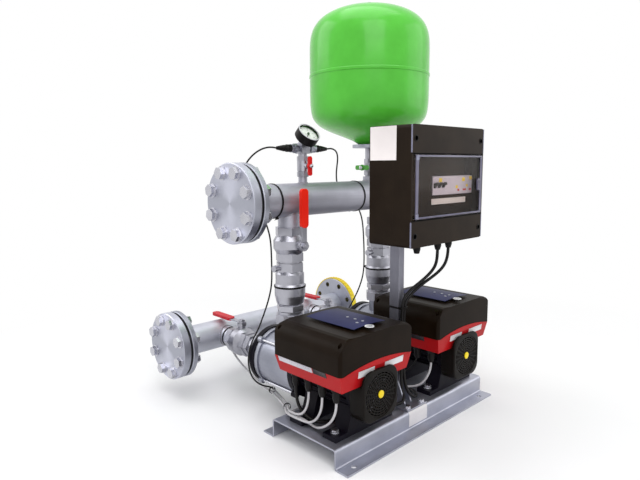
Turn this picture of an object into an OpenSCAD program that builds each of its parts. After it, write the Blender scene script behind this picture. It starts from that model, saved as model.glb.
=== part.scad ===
// Booster pump set: two horizontal multistage pumps on a bent base frame, with a suction and a
// discharge manifold, stop and check valves, a diaphragm tank, a pressure gauge and a control cabinet.
// Millimetres. The origin is on the floor under the middle of the base frame, +X runs along the
// manifolds to their open ends, +Y runs from the motors back to the suction manifold, and +Z is up.

/* [Base frame] */
// Length of the base frame, along the manifolds
base_length = 630; // [600:1:760]
// Width of the base frame over its two webs
base_width = 225; // [215:1:260]
// Height of the base frame
base_height = 50; // [40:1:56]
// Thickness of the bent sheet
base_sheet = 4; // [3:0.5:6]
// Outer radius of the sheet's bends
base_bend = 8; // [7:0.5:12]
// Width of each outward foot flange
base_flange = 38; // [32:1:50]
// Diameter of the floor anchor holes
anchor_hole_d = 14; // [10:0.5:16]
// Distance of the anchor holes from the base ends
anchor_inset = 40; // [25:1:80]

/* [Pump motors] */
// Distance between the two pump shafts
pump_spacing = 375; // [360:1:430]
// Height of the pump shafts above the floor
shaft_height = 154; // [150:1:170]
// Distance of the fan cover's face in front of the base's middle
fan_face = 138; // [132:1:146]
// Outer radius of the fan cover
fan_cover_r = 61; // [58:0.5:64]
// Depth of the fan cover
fan_cover_depth = 46; // [42:1:54]
// Sheet thickness of the fan cover
fan_cover_wall = 2; // [1.5:0.5:3]
// Length of the motor housing between its two ends
motor_length = 188; // [182:1:210]
// Radius of the motor housing under its fins
motor_r = 53; // [51:0.5:55]
// Height of the cooling fins
fin_height = 5; // [3:0.5:6]
// Wall of the motor housing
motor_wall = 7; // [5:0.5:9]
// Thickness of the motor's two end shields
shield = 12; // [11.5:0.5:16]
// Radius of the pump shaft
shaft_r = 8; // [6:0.5:9]
// Outer radius of the ball bearings
bearing_r = 17.5; // [15:0.5:20]
// Width of the ball bearings
bearing_width = 11; // [8:0.5:11]
// Length of the stator stack
stator_length = 130; // [90:1:130]
// Radius of the rotor core
rotor_core_r = 31; // [26:0.5:34]
// Air gap between the rotor core and the stator
air_gap = 0.5; // [0.4:0.1:1]
// Half the distance between the foot bolts of one foot
foot_bolt_reach = 84; // [80:1:92]
// Thickness of the foot pads
foot_pad = 12; // [8:1:16]
// Length of each foot along the shaft
foot_length = 44; // [36:1:46]
// Distance from the motor's front end to the middle of its front foot
front_foot = 24; // [24:1:30]
// Distance between the front and rear feet
foot_pitch = 118; // [110:1:130]
// Diameter of the foot bolts
foot_bolt_d = 10; // [8:1:12]

/* [Terminal boxes] */
// Half the width of the terminal cover
cover_reach = 131; // [124:0.5:138]
// Length of the terminal cover along the shaft
cover_length = 231; // [220:1:236]
// Distance from the fan cover's face back to the terminal cover's front
cover_setback = 7; // [4:1:12]
// Height of the joint between box and cover over the shaft
cover_seat = 72; // [68:0.5:76]
// Height of the terminal cover's crown over its joint
cover_height = 89; // [80:1:100]
// Radius of the cover's arched top, seen from the front
cover_arch = 550; // [450:10:800]
// Radius of the cover's vertical corners
cover_corner = 10; // [6:1:16]
// Radius of the cover's round shoulders on its left and right
cover_shoulder = 40; // [30:1:50]
// Radius of the cover's front and rear upper edges
cover_round = 8; // [5:1:12]
// Radius of the screw recesses in the cover's corners
screw_recess_r = 5; // [4:0.5:7]
// Depth of the tapered terminal box under its joint
box_depth = 42; // [36:1:46]
// Inward taper of the terminal box's sides over its depth
box_taper = 12; // [6:1:16]

/* [Pump hydraulics] */
// Thickness of the motor's pump flange
pump_flange = 16; // [12:1:20]
// Radius of the motor's pump flange
pump_flange_r = 78; // [77:0.5:82]
// Outer radius of the pump sleeve
sleeve_r = 77; // [74:0.5:77]
// Wall of the pump sleeve
sleeve_wall = 2.5; // [1.5:0.5:4]
// Length of the pump sleeve
sleeve_length = 124; // [118:1:150]
// Distance from the sleeve's front end to the discharge neck
neck_offset = 74; // [60:1:84]
// Height of the discharge neck's top over the shaft
neck_height = 108; // [100:1:120]
// Outer radius of the inlet and discharge necks
neck_r = 30; // [28:0.5:32]
// Bore radius of the necks, valves and branches
bore_r = 24; // [20:0.5:25]
// Width of the steel ring of the inlet casing
casing_ring = 14; // [10:1:18]
// Radius of the steel ring of the inlet casing
casing_ring_r = 81; // [79:0.5:82.5]
// Width of the black clamp rim
rim_width = 20; // [16:1:24]
// Outer radius of the black clamp rim
rim_r = 84; // [83:0.5:90]
// Inner radius of the black clamp rim
rim_inner_r = 72; // [66:0.5:74]
// Length of the inlet neck behind the clamp rim
inlet_neck = 15; // [12:1:24]
// Radius of the staybolts
staybolt_r = 4; // [3:0.5:5]
// Radius of the impellers
impeller_r = 52; // [44:1:60]
// Distance between the impeller stages
stage_pitch = 34; // [30:1:36]

/* [Valves and unions] */
// Length of a discharge union nut
discharge_union = 34; // [30:1:44]
// Length of a suction union nut with its nipple
suction_union = 55; // [46:1:66]
// Distance across the flats of the union nuts
union_across = 76; // [70:1:82]
// Length of a check valve with its lower nipple
check_length = 138; // [130:1:150]
// Largest radius of a check valve
check_r = 42; // [40:0.5:46]
// Length of a ball valve
valve_length = 92; // [88:1:110]
// Largest radius of a ball valve's body
valve_r = 43; // [41:0.5:46]
// Distance across the flats of the ball valves' ends
valve_across = 68; // [64:1:72]
// Length of the hexagonal nipple in front of a suction valve
suction_nipple = 30; // [24:1:40]
// Radius of a valve ball
ball_r = 33; // [32:0.5:36]
// Radius of a valve stem
stem_r = 6; // [5:0.5:8]
// Distance from a valve's axis to its lever plate
lever_offset = 59; // [57:0.5:64]
// Thickness of a lever plate
lever_sheet = 3; // [2:0.5:4]
// Length of a lever from its stem
lever_length = 148; // [130:1:148]
// Width of a lever blade
lever_width = 18; // [14:1:20]
// Length of a lever grip
grip_length = 102; // [80:1:104]
// Width of a lever grip
grip_width = 24; // [22:1:28]
// Thickness of a lever grip
grip_thickness = 9; // [7:0.5:11]

/* [Manifolds] */
// Length of a manifold between its two end faces
manifold_length = 700; // [660:1:760]
// Outer radius of the manifold pipes
pipe_r = 44.5; // [42:0.5:46]
// Wall of the manifold pipes
pipe_wall = 2; // [1.5:0.5:3.5]
// Distance from a valve's end to its manifold's axis
branch_reach = 72; // [66:1:90]
// Outer radius of the manifold branches
branch_r = 30; // [28:0.5:32]
// Radius of the collars at the manifold ends
collar_r = 66; // [60:1:68]
// Thickness of the collars
collar = 4; // [3:0.5:6]
// Outer radius of the flanges
flange_r = 100; // [98:1:110]
// Thickness of the loose flanges
loose_flange = 16; // [14:1:20]
// Thickness of the blind flanges
blind_flange = 24; // [18:1:28]
// Thickness of the gaskets
gasket = 3; // [2:0.5:4]
// Bolt circle diameter of the flanges
flange_pcd = 160; // [158:1:166]
// Number of bolts in each flange
flange_bolt_count = 8; // [4:4:8]
// Diameter of the bolt holes in the open flanges
flange_hole_d = 18; // [16:0.5:19]
// Diameter of the flange bolts
flange_bolt_d = 16; // [12:1:16]
// Wall of the push-on flange covers
cap_wall = 2.8; // [2:0.2:4]

/* [Gauge and tank] */
// Distance of the gauge branch left of the middle
gauge_reach = 136; // [110:1:145]
// Height of the welded sockets over the manifold's top
socket_height = 12.5; // [8:0.5:18]
// Length of the gauge valve
gauge_valve_length = 66; // [60:1:80]
// Edge length of the gauge cross block
cross_side = 28; // [24:1:30]
// Radius of the gauge case
gauge_r = 32; // [28:0.5:40]
// Depth of the gauge case
gauge_depth = 26; // [22:1:34]
// Backward lean of the gauge dial
gauge_lean = 45; // [40:1:50]
// Length of each pressure sensor's body
sensor_length = 30; // [24:1:40]
// Length of each sensor plug
plug_length = 46; // [36:1:56]
// Distance of the tank's axis right of the middle
tank_reach = 135; // [120:1:160]
// Length of the tank valve with its nipple
tank_valve_length = 86; // [80:1:110]
// Outer radius of the tank
tank_r = 177; // [150:1:180]
// Height of the tank's shell
tank_height = 400; // [340:1:460]
// Sheet thickness of the tank
tank_wall = 1.5; // [1:0.25:3]
// Crown radius of the tank's two heads
tank_crown = 480; // [420:10:700]
// Knuckle radius of the tank's two heads
tank_knuckle = 45; // [30:1:60]
// Radius of the tank's bottom flange
tank_flange_r = 49; // [42:1:60]
// Span of the butterfly handles
butterfly_span = 52; // [44:1:60]

/* [Control cabinet] */
// Width of the cabinet
cabinet_width = 304; // [290:1:330]
// Height of the cabinet
cabinet_height = 278; // [260:1:310]
// Depth of the cabinet
cabinet_depth = 122; // [116:1:140]
// Height of the cabinet's underside over the floor
cabinet_bottom = 501; // [470:1:520]
// Depth of the cabinet's rear box
cabinet_box_depth = 70; // [64:1:72]
// Wall of the cabinet
cabinet_wall = 3; // [2.5:0.5:4]
// Corner radius of the cabinet
cabinet_corner = 9; // [6:1:14]
// Height of the transparent door
door_height = 150; // [140:1:170]
// Distance from the cabinet's underside to the door
door_rise = 63; // [56:1:70]
// Thickness of the transparent door
door_sheet = 5; // [4:0.5:6]
// Depth of the recess behind the door
recess_depth = 28; // [26:1:30]
// Number of modules on the rail
module_count = 10; // [8:1:10]
// Width of one rail module
module_pitch = 17.5; // [17:0.5:18]
// Width of the cabinet post
post_width = 22; // [20:1:30]
// Depth of the cabinet post
post_depth = 30; // [26:1:42]
// Wall of the cabinet post
post_wall = 2; // [1.5:0.5:3]
// Distance of the post's middle in front of the base's middle
post_setback = 34; // [30:1:40]
// Depth of the two rails between post and cabinet
rail_depth = 19; // [15:1:24]
// Width of the stand foot
stand_width = 84; // [76:1:100]
// Thickness of the stand foot's sheet
stand_sheet = 4; // [3:0.5:5]

/* [Clearances] */
// Gap between pieces that are fitted together and don't move
seat_gap = 0.1; // [0.05:0.05:0.2]
// Radial running gap of shafts, stems and pins
running_gap = 0.08; // [0.05:0.01:0.1]
// Gap beside pieces that move past each other
moving_gap = 0.5; // [0.3:0.1:0.8]

/* [Hidden] */
$fn = 64;

// Colours of the pieces
galvanised = "lightsteelblue";
stainless = "silver";
dark_plastic = "#1c1a18";
box_red = "#b3221b";
grip_red = "#f03a14";
tank_green = "#5fc645";
cap_yellow = "#f2dc1e";

// Overlap that keeps cuts clear of the faces they pass
cut = 1;

// Stations along the pump shaft, from the fan to the inlet
motor_front = fan_cover_depth - fan_face;
motor_rear = motor_front + motor_length;
sleeve_front = motor_rear + pump_flange;
sleeve_rear = sleeve_front + sleeve_length;
ring_rear = sleeve_rear + casing_ring;
rim_rear = ring_rear + rim_width;
inlet_end = rim_rear + inlet_neck;
pump_x = pump_spacing / 2;
fin_r = motor_r + fin_height;
stator_r = motor_r - motor_wall;

// Stations up the discharge riser
riser_y = sleeve_front + neck_offset;
neck_top = shaft_height + neck_height;
check_bottom = neck_top + discharge_union;
discharge_valve_bottom = check_bottom + check_length;
discharge_valve_z = discharge_valve_bottom + valve_length / 2;
discharge_valve_top = discharge_valve_bottom + valve_length;
discharge_z = discharge_valve_top + branch_reach;
socket_top = discharge_z + pipe_r + socket_height;

// Stations along the suction line
suction_nipple_front = inlet_end + suction_union;
suction_valve_front = suction_nipple_front + suction_nipple;
suction_valve_y = suction_valve_front + valve_length / 2;
suction_valve_rear = suction_valve_front + valve_length;
suction_y = suction_valve_rear + branch_reach;

// Stations of the flanges along the manifolds
manifold_end = manifold_length / 2;
loose_face = manifold_end - collar;
loose_back = loose_face - loose_flange;
blind_face = manifold_end + gasket;
blind_back = blind_face + blind_flange;

// Places of the base, the stand and the cabinet
foot_edge = base_width / 2 + base_flange;
anchor_x = base_length / 2 - anchor_inset;
anchor_y = base_width / 2 + base_flange / 2 + 1;
stand_top = base_height + stand_sheet;
post_front = -post_setback - post_depth / 2;
cabinet_back = post_front - rail_depth;
cabinet_front = cabinet_back - cabinet_depth;
cabinet_split = cabinet_back - cabinet_box_depth;
cabinet_middle = cabinet_bottom + cabinet_height / 2;
cabinet_top = cabinet_bottom + cabinet_height;
door_bottom = cabinet_bottom + door_rise;
door_middle = door_bottom + door_height / 2;

// Helpers: solids along one axis, between two stations
module prism_x(from, to) {
  translate([from, 0, 0]) rotate([90, 0, 90]) linear_extrude(to - from) children();
}

module prism_y(from, to) {
  translate([0, to, 0]) rotate([90, 0, 0]) linear_extrude(to - from) children();
}

module prism_z(from, to) {
  translate([0, 0, from]) linear_extrude(to - from) children();
}

module rod_x(from, to, r) {
  translate([from, 0, 0]) rotate([0, 90, 0]) cylinder(h = to - from, r = r);
}

module rod_y(from, to, r) {
  translate([0, from, 0]) rotate([-90, 0, 0]) cylinder(h = to - from, r = r);
}

module rod_z(from, to, r) {
  translate([0, 0, from]) cylinder(h = to - from, r = r);
}

// Revolved outlines: the outline's x is the radius, its y the station on the axis
module turned_x() {
  rotate([90, 0, 90]) rotate_extrude() children();
}

module turned_y() {
  rotate([-90, 0, 0]) rotate_extrude() children();
}

// Hexagonal bar along Z
module hex_z(from, to, across) {
  translate([0, 0, from]) cylinder(h = to - from, r = across / 2 / cos(30), $fn = 6);
}

// Flat rectangle with round corners, about its middle
module soft_rect(width, height, corner) {
  square([width, height - 2 * corner], center = true);
  square([width - 2 * corner, height], center = true);
  for (x = [-1, 1], y = [-1, 1])
    translate([x * (width / 2 - corner), y * (height / 2 - corner)]) circle(corner);
}

// Quarter of a round bend: outer radius r, sheet thickness t, in the quadrant right and up
module bend(r, t) {
  intersection() {
    difference() {
      circle(r);
      circle(r - t);
    }
    square(r);
  }
}

module at_pump(side) {
  translate([side * pump_x, 0, shaft_height]) children();
}

module at_pumps() {
  for (side = [-1, 1]) at_pump(side) children();
}

// A valve's own frame has its flow along Z and its stem along -Y
module at_discharge_valve(side) {
  translate([side * pump_x, riser_y, discharge_valve_z]) children();
}

module at_suction_valve(side) {
  translate([side * pump_x, suction_valve_y, shaft_height]) rotate([-90, 0, 0]) children();
}

// The bolt places of a flange, on a circle about X that straddles the vertical
module at_flange_bolts() {
  for (i = [0 : flange_bolt_count - 1])
    rotate([(i + 0.5) * 360 / flange_bolt_count, 0, 0]) translate([0, 0, flange_pcd / 2]) children();
}

module at_manifolds() {
  translate([0, riser_y, discharge_z]) children();
  translate([0, suction_y, shaft_height]) children();
}

// Base frame
module hat_half() {
  web = base_width / 2 - base_sheet;
  translate([0, base_height - base_sheet]) square([base_width / 2 - base_bend, base_sheet]);
  translate([base_width / 2 - base_bend, base_height - base_bend]) bend(base_bend, base_sheet);
  translate([web, base_bend]) square([base_sheet, base_height - 2 * base_bend]);
  translate([web + base_bend, base_bend]) rotate(180) bend(base_bend, base_sheet);
  translate([web + base_bend, 0]) square([foot_edge - web - base_bend, base_sheet]);
}

// The places of the pump foot bolts over the base
module at_foot_bolts() {
  for (side = [-1, 1], x = [-1, 1], pitch = [0, foot_pitch])
    translate([side * pump_x + x * foot_bolt_reach, motor_front + front_foot + pitch, base_height])
      children();
}

// The places of the bolts that hold the stand foot on the base
stand_bolt_x = stand_width / 2 - 12;
stand_bolt_y = -base_width / 2 + 14;
stand_bolt_d = 8;
module at_stand_bolts() {
  for (x = [-1, 1]) translate([x * stand_bolt_x, stand_bolt_y, stand_top]) children();
}

module base_frame() {
  color(galvanised) difference() {
    prism_x(-base_length / 2, base_length / 2) {
      hat_half();
      mirror([1, 0]) hat_half();
    }
    for (x = [-1, 1], y = [-1, 1])
      translate([x * anchor_x, y * anchor_y, 0]) rod_z(-cut, base_sheet + cut, anchor_hole_d / 2);
    at_foot_bolts() rod_z(-base_sheet - cut, cut, foot_bolt_d / 2 + seat_gap);
    at_stand_bolts() rod_z(-stand_sheet - base_sheet - cut, cut, stand_bolt_d / 2 + seat_gap);
  }
}

// Stand foot: a sheet on the base with two cheeks that hold the post
stand_rear = -4;
stand_lip = 4;
cheek_height = 58;
cheek_run = 30;
cheek_bolt_rise = 34;
cheek_x = post_width / 2 + seat_gap;

module stand_cheek() {
  prism_x(cheek_x, cheek_x + stand_sheet) polygon([
    [post_front - cheek_run, stand_top - stand_sheet / 2],
    [post_front + post_depth + 4, stand_top - stand_sheet / 2],
    [post_front + post_depth + 4, stand_top + cheek_height],
    [post_front - 4, stand_top + cheek_height]
  ]);
}

module stand_foot() {
  front = -base_width / 2 + stand_lip;
  color(galvanised) difference() {
    union() {
      translate([-stand_width / 2, front, base_height])
        cube([stand_width, stand_rear - front, stand_sheet]);
      stand_cheek();
      mirror([1, 0, 0]) stand_cheek();
    }
    at_stand_bolts() rod_z(-stand_sheet - cut, cut, stand_bolt_d / 2 + seat_gap);
    translate([0, -post_setback, stand_top + cheek_bolt_rise])
      rod_x(-stand_width / 2, stand_width / 2, stand_bolt_d / 2 + seat_gap);
  }
}

// Cabinet post: a lipped channel, open to the rear
post_lip = 5;
post_top = cabinet_top - 16;

module cabinet_post() {
  color(galvanised) difference() {
    prism_z(stand_top, post_top) translate([0, -post_setback]) difference() {
      square([post_width, post_depth], center = true);
      square([post_width - 2 * post_wall, post_depth - 2 * post_wall], center = true);
      translate([-post_width / 2 + post_lip, 0])
        square([post_width - 2 * post_lip, post_depth]);
    }
    translate([0, -post_setback, stand_top + cheek_bolt_rise])
      rod_x(-post_width, post_width, stand_bolt_d / 2 + seat_gap);
  }
}

// Cabinet rails: two channels between the post and the cabinet's back
rail_height = 30;
rail_reach = 112;
rail_sheet = 2;
rail_inset = 44;

module cabinet_rails() {
  color(galvanised) for (z = [cabinet_bottom + rail_inset, cabinet_top - rail_inset])
    translate([0, cabinet_back, z]) prism_x(-rail_reach, rail_reach) difference() {
      translate([0, -rail_height / 2]) square([rail_depth, rail_height]);
      translate([rail_sheet, -rail_height / 2 + rail_sheet])
        square([rail_depth, rail_height - 2 * rail_sheet]);
    }
}

// A hexagon bolt down through a joint: the head lies on z = 0, the nut under the grip
module bolt_down(d, grip) {
  head = 0.65 * d;
  nut = 0.8 * d;
  washer = 2;
  rod_z(0, washer, 1.1 * d);
  hex_z(washer, washer + head, 1.7 * d);
  rod_z(-grip - nut - washer, washer, d / 2);
  hex_z(-grip - nut, -grip, 1.7 * d);
}

module frame_bolts() {
  color(stainless) {
    at_foot_bolts() translate([0, 0, foot_pad]) bolt_down(foot_bolt_d, foot_pad + base_sheet);
    at_stand_bolts() bolt_down(stand_bolt_d, stand_sheet + base_sheet);
    translate([cheek_x + stand_sheet, -post_setback, stand_top + cheek_bolt_rise])
      rotate([0, 90, 0]) bolt_down(stand_bolt_d, 2 * (cheek_x + stand_sheet));
  }
}

// Manifolds: thin pipes with end collars and branches
branch_wall = 3;
gauge_socket_r = 12;
tank_socket_r = 17;

module manifold_pipe() {
  rod_x(-manifold_end, manifold_end, pipe_r);
  rod_x(-manifold_end, -loose_face, collar_r);
  rod_x(loose_face, manifold_end, collar_r);
}

module manifold_bore() {
  rod_x(-manifold_end - cut, manifold_end + cut, pipe_r - pipe_wall);
}

module suction_manifold() {
  color(stainless) translate([0, suction_y, shaft_height]) difference() {
    union() {
      manifold_pipe();
      for (x = [-pump_x, pump_x]) translate([x, 0, 0]) rod_y(-branch_reach, 0, branch_r);
    }
    manifold_bore();
    for (x = [-pump_x, pump_x])
      translate([x, 0, 0]) rod_y(-branch_reach - cut, 0, branch_r - branch_wall);
  }
}

module discharge_manifold() {
  top = pipe_r + socket_height;
  color(stainless) translate([0, riser_y, discharge_z]) difference() {
    union() {
      manifold_pipe();
      for (x = [-pump_x, pump_x]) translate([x, 0, 0]) rod_z(-branch_reach, 0, branch_r);
      translate([-gauge_reach, 0, 0]) rod_z(0, top, gauge_socket_r);
      translate([tank_reach, 0, 0]) rod_z(0, top, tank_socket_r);
    }
    manifold_bore();
    for (x = [-pump_x, pump_x])
      translate([x, 0, 0]) rod_z(-branch_reach - cut, 0, branch_r - branch_wall);
    translate([-gauge_reach, 0, 0]) rod_z(0, top + cut, gauge_socket_r / 2);
    translate([tank_reach, 0, 0]) rod_z(0, top + cut, tank_socket_r / 2);
  }
}

// Flanges: loose rings behind the collars, blind plates, gaskets and bolts on the left
flange_chamfer = 2;
bolted_hole_d = flange_bolt_d + 1;

module flange_outline(bore, from, to) {
  polygon([
    [bore, from], [flange_r - flange_chamfer, from], [flange_r, from + flange_chamfer],
    [flange_r, to - flange_chamfer], [flange_r - flange_chamfer, to], [bore, to]
  ]);
}

module flange_ring(bore, from, to, hole_d) {
  difference() {
    turned_x() flange_outline(bore, from, to);
    at_flange_bolts() rod_x(from - cut, to + cut, hole_d / 2);
  }
}

module loose_flanges() {
  color(stainless) at_manifolds() {
    flange_ring(pipe_r + moving_gap, -loose_face, -loose_back, bolted_hole_d);
    flange_ring(pipe_r + moving_gap, loose_back, loose_face, flange_hole_d);
  }
}

module blind_flanges() {
  color(stainless) at_manifolds() flange_ring(0, -blind_back, -blind_face, bolted_hole_d);
}

module flange_gaskets() {
  color(dark_plastic) at_manifolds() difference() {
    rod_x(-blind_face, -manifold_end, flange_r - flange_chamfer);
    rod_x(-blind_face - cut, -manifold_end + cut, pipe_r);
    at_flange_bolts() rod_x(-blind_face - cut, -manifold_end + cut, bolted_hole_d / 2);
  }
}

module flange_bolts() {
  color(stainless) at_manifolds() at_flange_bolts() translate([-blind_back, 0, 0])
    rotate([0, -90, 0]) bolt_down(flange_bolt_d, blind_back - loose_back);
}

// Push-on covers with ribbed rims over the open flanges on the right
cap_lip = 14;
cap_edge = 1;
cap_ribs = 48;
cap_rib_r = 1.6;

module flange_cap() {
  rim = flange_r + moving_gap;
  turned_x() polygon([
    [0, manifold_end + seat_gap], [rim, manifold_end + seat_gap], [rim, loose_face - cap_lip],
    [rim + cap_wall, loose_face - cap_lip], [rim + cap_wall, manifold_end + cap_wall - cap_edge],
    [rim + cap_wall - cap_edge, manifold_end + cap_wall], [0, manifold_end + cap_wall]
  ]);
  for (i = [0 : cap_ribs - 1])
    rotate([i * 360 / cap_ribs, 0, 0]) translate([0, 0, rim + cap_wall])
      rod_x(loose_face - cap_lip + cap_edge, manifold_end - cap_edge, cap_rib_r);
}

module suction_flange_cover() {
  color(cap_yellow) translate([0, suction_y, shaft_height]) flange_cap();
}

module discharge_flange_cover() {
  color(cap_yellow) translate([0, riser_y, discharge_z]) flange_cap();
}

// Motors
fin_count = 20;
fin_width = 3;
spigot = 6;
foot_waist = 44;
seal_r = 14;
seal_width = 8;
staybolt_count = 4;
staybolt_ring = sleeve_r + staybolt_r + moving_gap;
lug_r = 9;

module at_staybolts() {
  for (i = [0 : staybolt_count - 1])
    rotate([0, (i + 0.5) * 360 / staybolt_count, 0]) translate([staybolt_ring, 0, 0]) children();
}

module foot_outline() {
  floor = base_height - shaft_height;
  pad = foot_bolt_reach + foot_bolt_d * 2;
  knee = foot_bolt_reach - foot_bolt_d * 2;
  polygon([
    [-pad, floor], [pad, floor], [pad, floor + foot_pad], [knee, floor + foot_pad],
    [foot_waist, -motor_r / 2], [-foot_waist, -motor_r / 2], [-knee, floor + foot_pad],
    [-pad, floor + foot_pad]
  ]);
}

module motor_housing() {
  floor = base_height - shaft_height;
  difference() {
    union() {
      rod_y(motor_front, motor_rear, motor_r);
      rod_y(motor_front - spigot, motor_front + shield, fan_cover_r - fan_cover_wall - seat_gap);
      rod_y(motor_rear, sleeve_front, pump_flange_r);
      at_staybolts() rod_y(motor_rear, sleeve_front, lug_r);
      for (i = [0 : fin_count - 1])
        rotate([0, i * 360 / fin_count, 0])
          translate([-fin_width / 2, motor_front + shield - cut, motor_r - cut])
            cube([fin_width, motor_length - 2 * shield, fin_height + cut]);
      for (pitch = [0, foot_pitch])
        translate([0, motor_front + front_foot + pitch, 0])
          prism_y(-foot_length / 2, foot_length / 2) foot_outline();
    }
    rod_y(motor_front + shield, motor_rear - shield, stator_r);
    rod_y(motor_front - spigot - cut, sleeve_front + cut, shaft_r + moving_gap);
    rod_y(motor_front + shield - bearing_width, motor_front + shield + cut, bearing_r);
    rod_y(motor_rear - shield - cut, motor_rear - shield + bearing_width, bearing_r);
    rod_y(sleeve_front - seal_width, sleeve_front + cut, seal_r);
    for (x = [-1, 1], pitch = [0, foot_pitch])
      translate([x * foot_bolt_reach, motor_front + front_foot + pitch, floor])
        rod_z(-cut, foot_pad + cut, foot_bolt_d / 2 + seat_gap);
  }
}

module motor_housings() {
  color(dark_plastic) at_pumps() motor_housing();
}

// Fan covers with a slotted grille in the face
grille_rings = 7;
inner_rings = 2;
inner_spokes = 12;
outer_spokes = 24;
spoke_width = 2.6;
grille_start = 12.5;
grille_slot = 3.2;
grille_pitch = 6.2;

// The slots of some of the rings, cut up by spokes
module grille_cut(first, last, spokes) {
  face = -fan_face;
  difference() {
    for (i = [first : last]) difference() {
      rod_y(face - cut, face + fan_cover_wall + cut, grille_start + i * grille_pitch + grille_slot);
      rod_y(face - 2 * cut, face + fan_cover_wall + 2 * cut, grille_start + i * grille_pitch);
    }
    for (i = [0 : spokes / 2 - 1])
      rotate([0, i * 360 / spokes, 0])
        translate([-fan_cover_r, face - 2 * cut, -spoke_width / 2])
          cube([2 * fan_cover_r, fan_cover_wall + 4 * cut, spoke_width]);
  }
}

module fan_cover() {
  round = 5;
  difference() {
    turned_y() difference() {
      union() {
        translate([0, -fan_face]) square([fan_cover_r - round, fan_cover_depth]);
        translate([0, -fan_face + round]) square([fan_cover_r, fan_cover_depth - round]);
        translate([fan_cover_r - round, -fan_face + round]) circle(round);
      }
      translate([0, -fan_face + fan_cover_wall])
        square([fan_cover_r - round, fan_cover_depth]);
      translate([0, -fan_face + round])
        square([fan_cover_r - fan_cover_wall, fan_cover_depth]);
      translate([fan_cover_r - round, -fan_face + round]) circle(round - fan_cover_wall);
      translate([-2 * round, -fan_face - cut]) square([2 * round, fan_cover_depth + 2 * cut]);
    }
    grille_cut(0, inner_rings - 1, inner_spokes);
    grille_cut(inner_rings, grille_rings - 1, outer_spokes);
  }
}

module fan_covers() {
  color(dark_plastic) at_pumps() fan_cover();
}

// Inner pieces of the motors
stator_middle = (motor_front + motor_rear) / 2;
winding_inset = 3;
winding = (motor_length - 2 * shield - stator_length) / 2 - winding_inset;

module stator_ring(length, inner, outer) {
  difference() {
    rod_y(stator_middle - length / 2, stator_middle + length / 2, outer);
    rod_y(motor_front, motor_rear, inner);
  }
}

// Stators: the stack, with a winding head at each end
module stators() {
  color("peru") at_pumps() {
    stator_ring(stator_length, rotor_core_r + air_gap, stator_r - seat_gap);
    stator_ring(stator_length + 2 * winding, rotor_core_r + winding_inset, stator_r - winding_inset);
  }
}

module bearing(from) {
  difference() {
    rod_y(from, from + bearing_width, bearing_r - seat_gap);
    rod_y(from - cut, from + bearing_width + cut, shaft_r + running_gap);
  }
}

module motor_bearings() {
  color(stainless) at_pumps() {
    bearing(motor_front + shield - bearing_width);
    bearing(motor_rear - shield);
  }
}

module shaft_seals() {
  color("dimgray") at_pumps() difference() {
    rod_y(sleeve_front - seal_width, sleeve_front, seal_r - seat_gap);
    rod_y(sleeve_front - seal_width - cut, sleeve_front + cut, shaft_r + running_gap);
  }
}

// Rotor: shaft, core, cooling fan and three impellers
fan_r = 48;
fan_hub_r = 16;
fan_blades = 7;
fan_width = 24;
blade_sheet = 3;
impeller_width = 16;
impeller_sheet = 3;
impeller_eye_r = 20;
stage_count = 3;
first_stage = 22;
fan_start = motor_front - spigot - moving_gap - fan_width - 2;

module impeller(from) {
  turned_y() difference() {
    translate([shaft_r - cut, from]) square([impeller_r - shaft_r + cut, impeller_width]);
    translate([impeller_eye_r, from + impeller_sheet])
      square([impeller_r, impeller_width - 2 * impeller_sheet]);
    translate([shaft_r * 1.5, from + impeller_sheet])
      square([impeller_r, impeller_width]);
    }
}

module rotor() {
  rod_y(fan_start, sleeve_rear - seal_width, shaft_r);
  rod_y(stator_middle - stator_length / 2, stator_middle + stator_length / 2, rotor_core_r);
  rod_y(fan_start, fan_start + fan_width, fan_hub_r);
  rod_y(fan_start + fan_width - blade_sheet, fan_start + fan_width, fan_r);
  for (i = [0 : fan_blades - 1])
    rotate([0, i * 360 / fan_blades, 0])
      translate([-blade_sheet / 2, fan_start, fan_hub_r - 1])
        cube([blade_sheet, fan_width - 1, fan_r - fan_hub_r]);
  for (i = [0 : stage_count - 1]) impeller(sleeve_front + first_stage + i * stage_pitch);
}

module rotor_left() {
  color("darkgray") at_pump(-1) rotor();
}

module rotor_right() {
  color("darkgray") at_pump(1) rotor();
}

// Terminal boxes: tapered trays that straddle the motors
cover_front = cover_setback - fan_face;
cover_rear = cover_front + cover_length;
cover_mid = (cover_front + cover_rear) / 2;
box_inset = 2;
round_ease = 0.6;
box_floor = cover_seat - box_depth;

module cover_plan() {
  translate([0, cover_mid]) soft_rect(2 * cover_reach + round_ease, cover_length + round_ease, cover_corner);
}

// Room for the pump flange and its lugs under the rear edge of the box and the cover
module flange_relief() {
  rod_y(motor_rear - seat_gap, cover_rear + cut, staybolt_ring + lug_r + seat_gap);
}

module terminal_box() {
  difference() {
    intersection() {
      prism_z(box_floor, cover_seat) cover_plan();
      prism_y(cover_front, cover_rear) polygon([
        [-cover_reach + box_inset, cover_seat], [cover_reach - box_inset, cover_seat],
        [cover_reach - box_inset - box_taper, box_floor],
        [-cover_reach + box_inset + box_taper, box_floor]
      ]);
      prism_x(-cover_reach, cover_reach) polygon([
        [cover_front + box_inset, cover_seat], [cover_rear - box_inset, cover_seat],
        [cover_rear - box_inset - box_taper / 2, box_floor],
        [cover_front + box_inset + box_taper / 2, box_floor]
      ]);
    }
    rod_y(cover_front - cut, motor_front + seat_gap, fan_cover_r + seat_gap);
    rod_y(motor_front - cut, motor_front + shield, fan_cover_r - fan_cover_wall);
    rod_y(motor_front + shield - cut, cover_rear + cut, fin_r + seat_gap);
    flange_relief();
    at_glands() rod_z(-cut, gland_tail, gland_thread_r);
  }
}

module terminal_boxes() {
  color(box_red) at_pumps() terminal_box();
}

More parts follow.
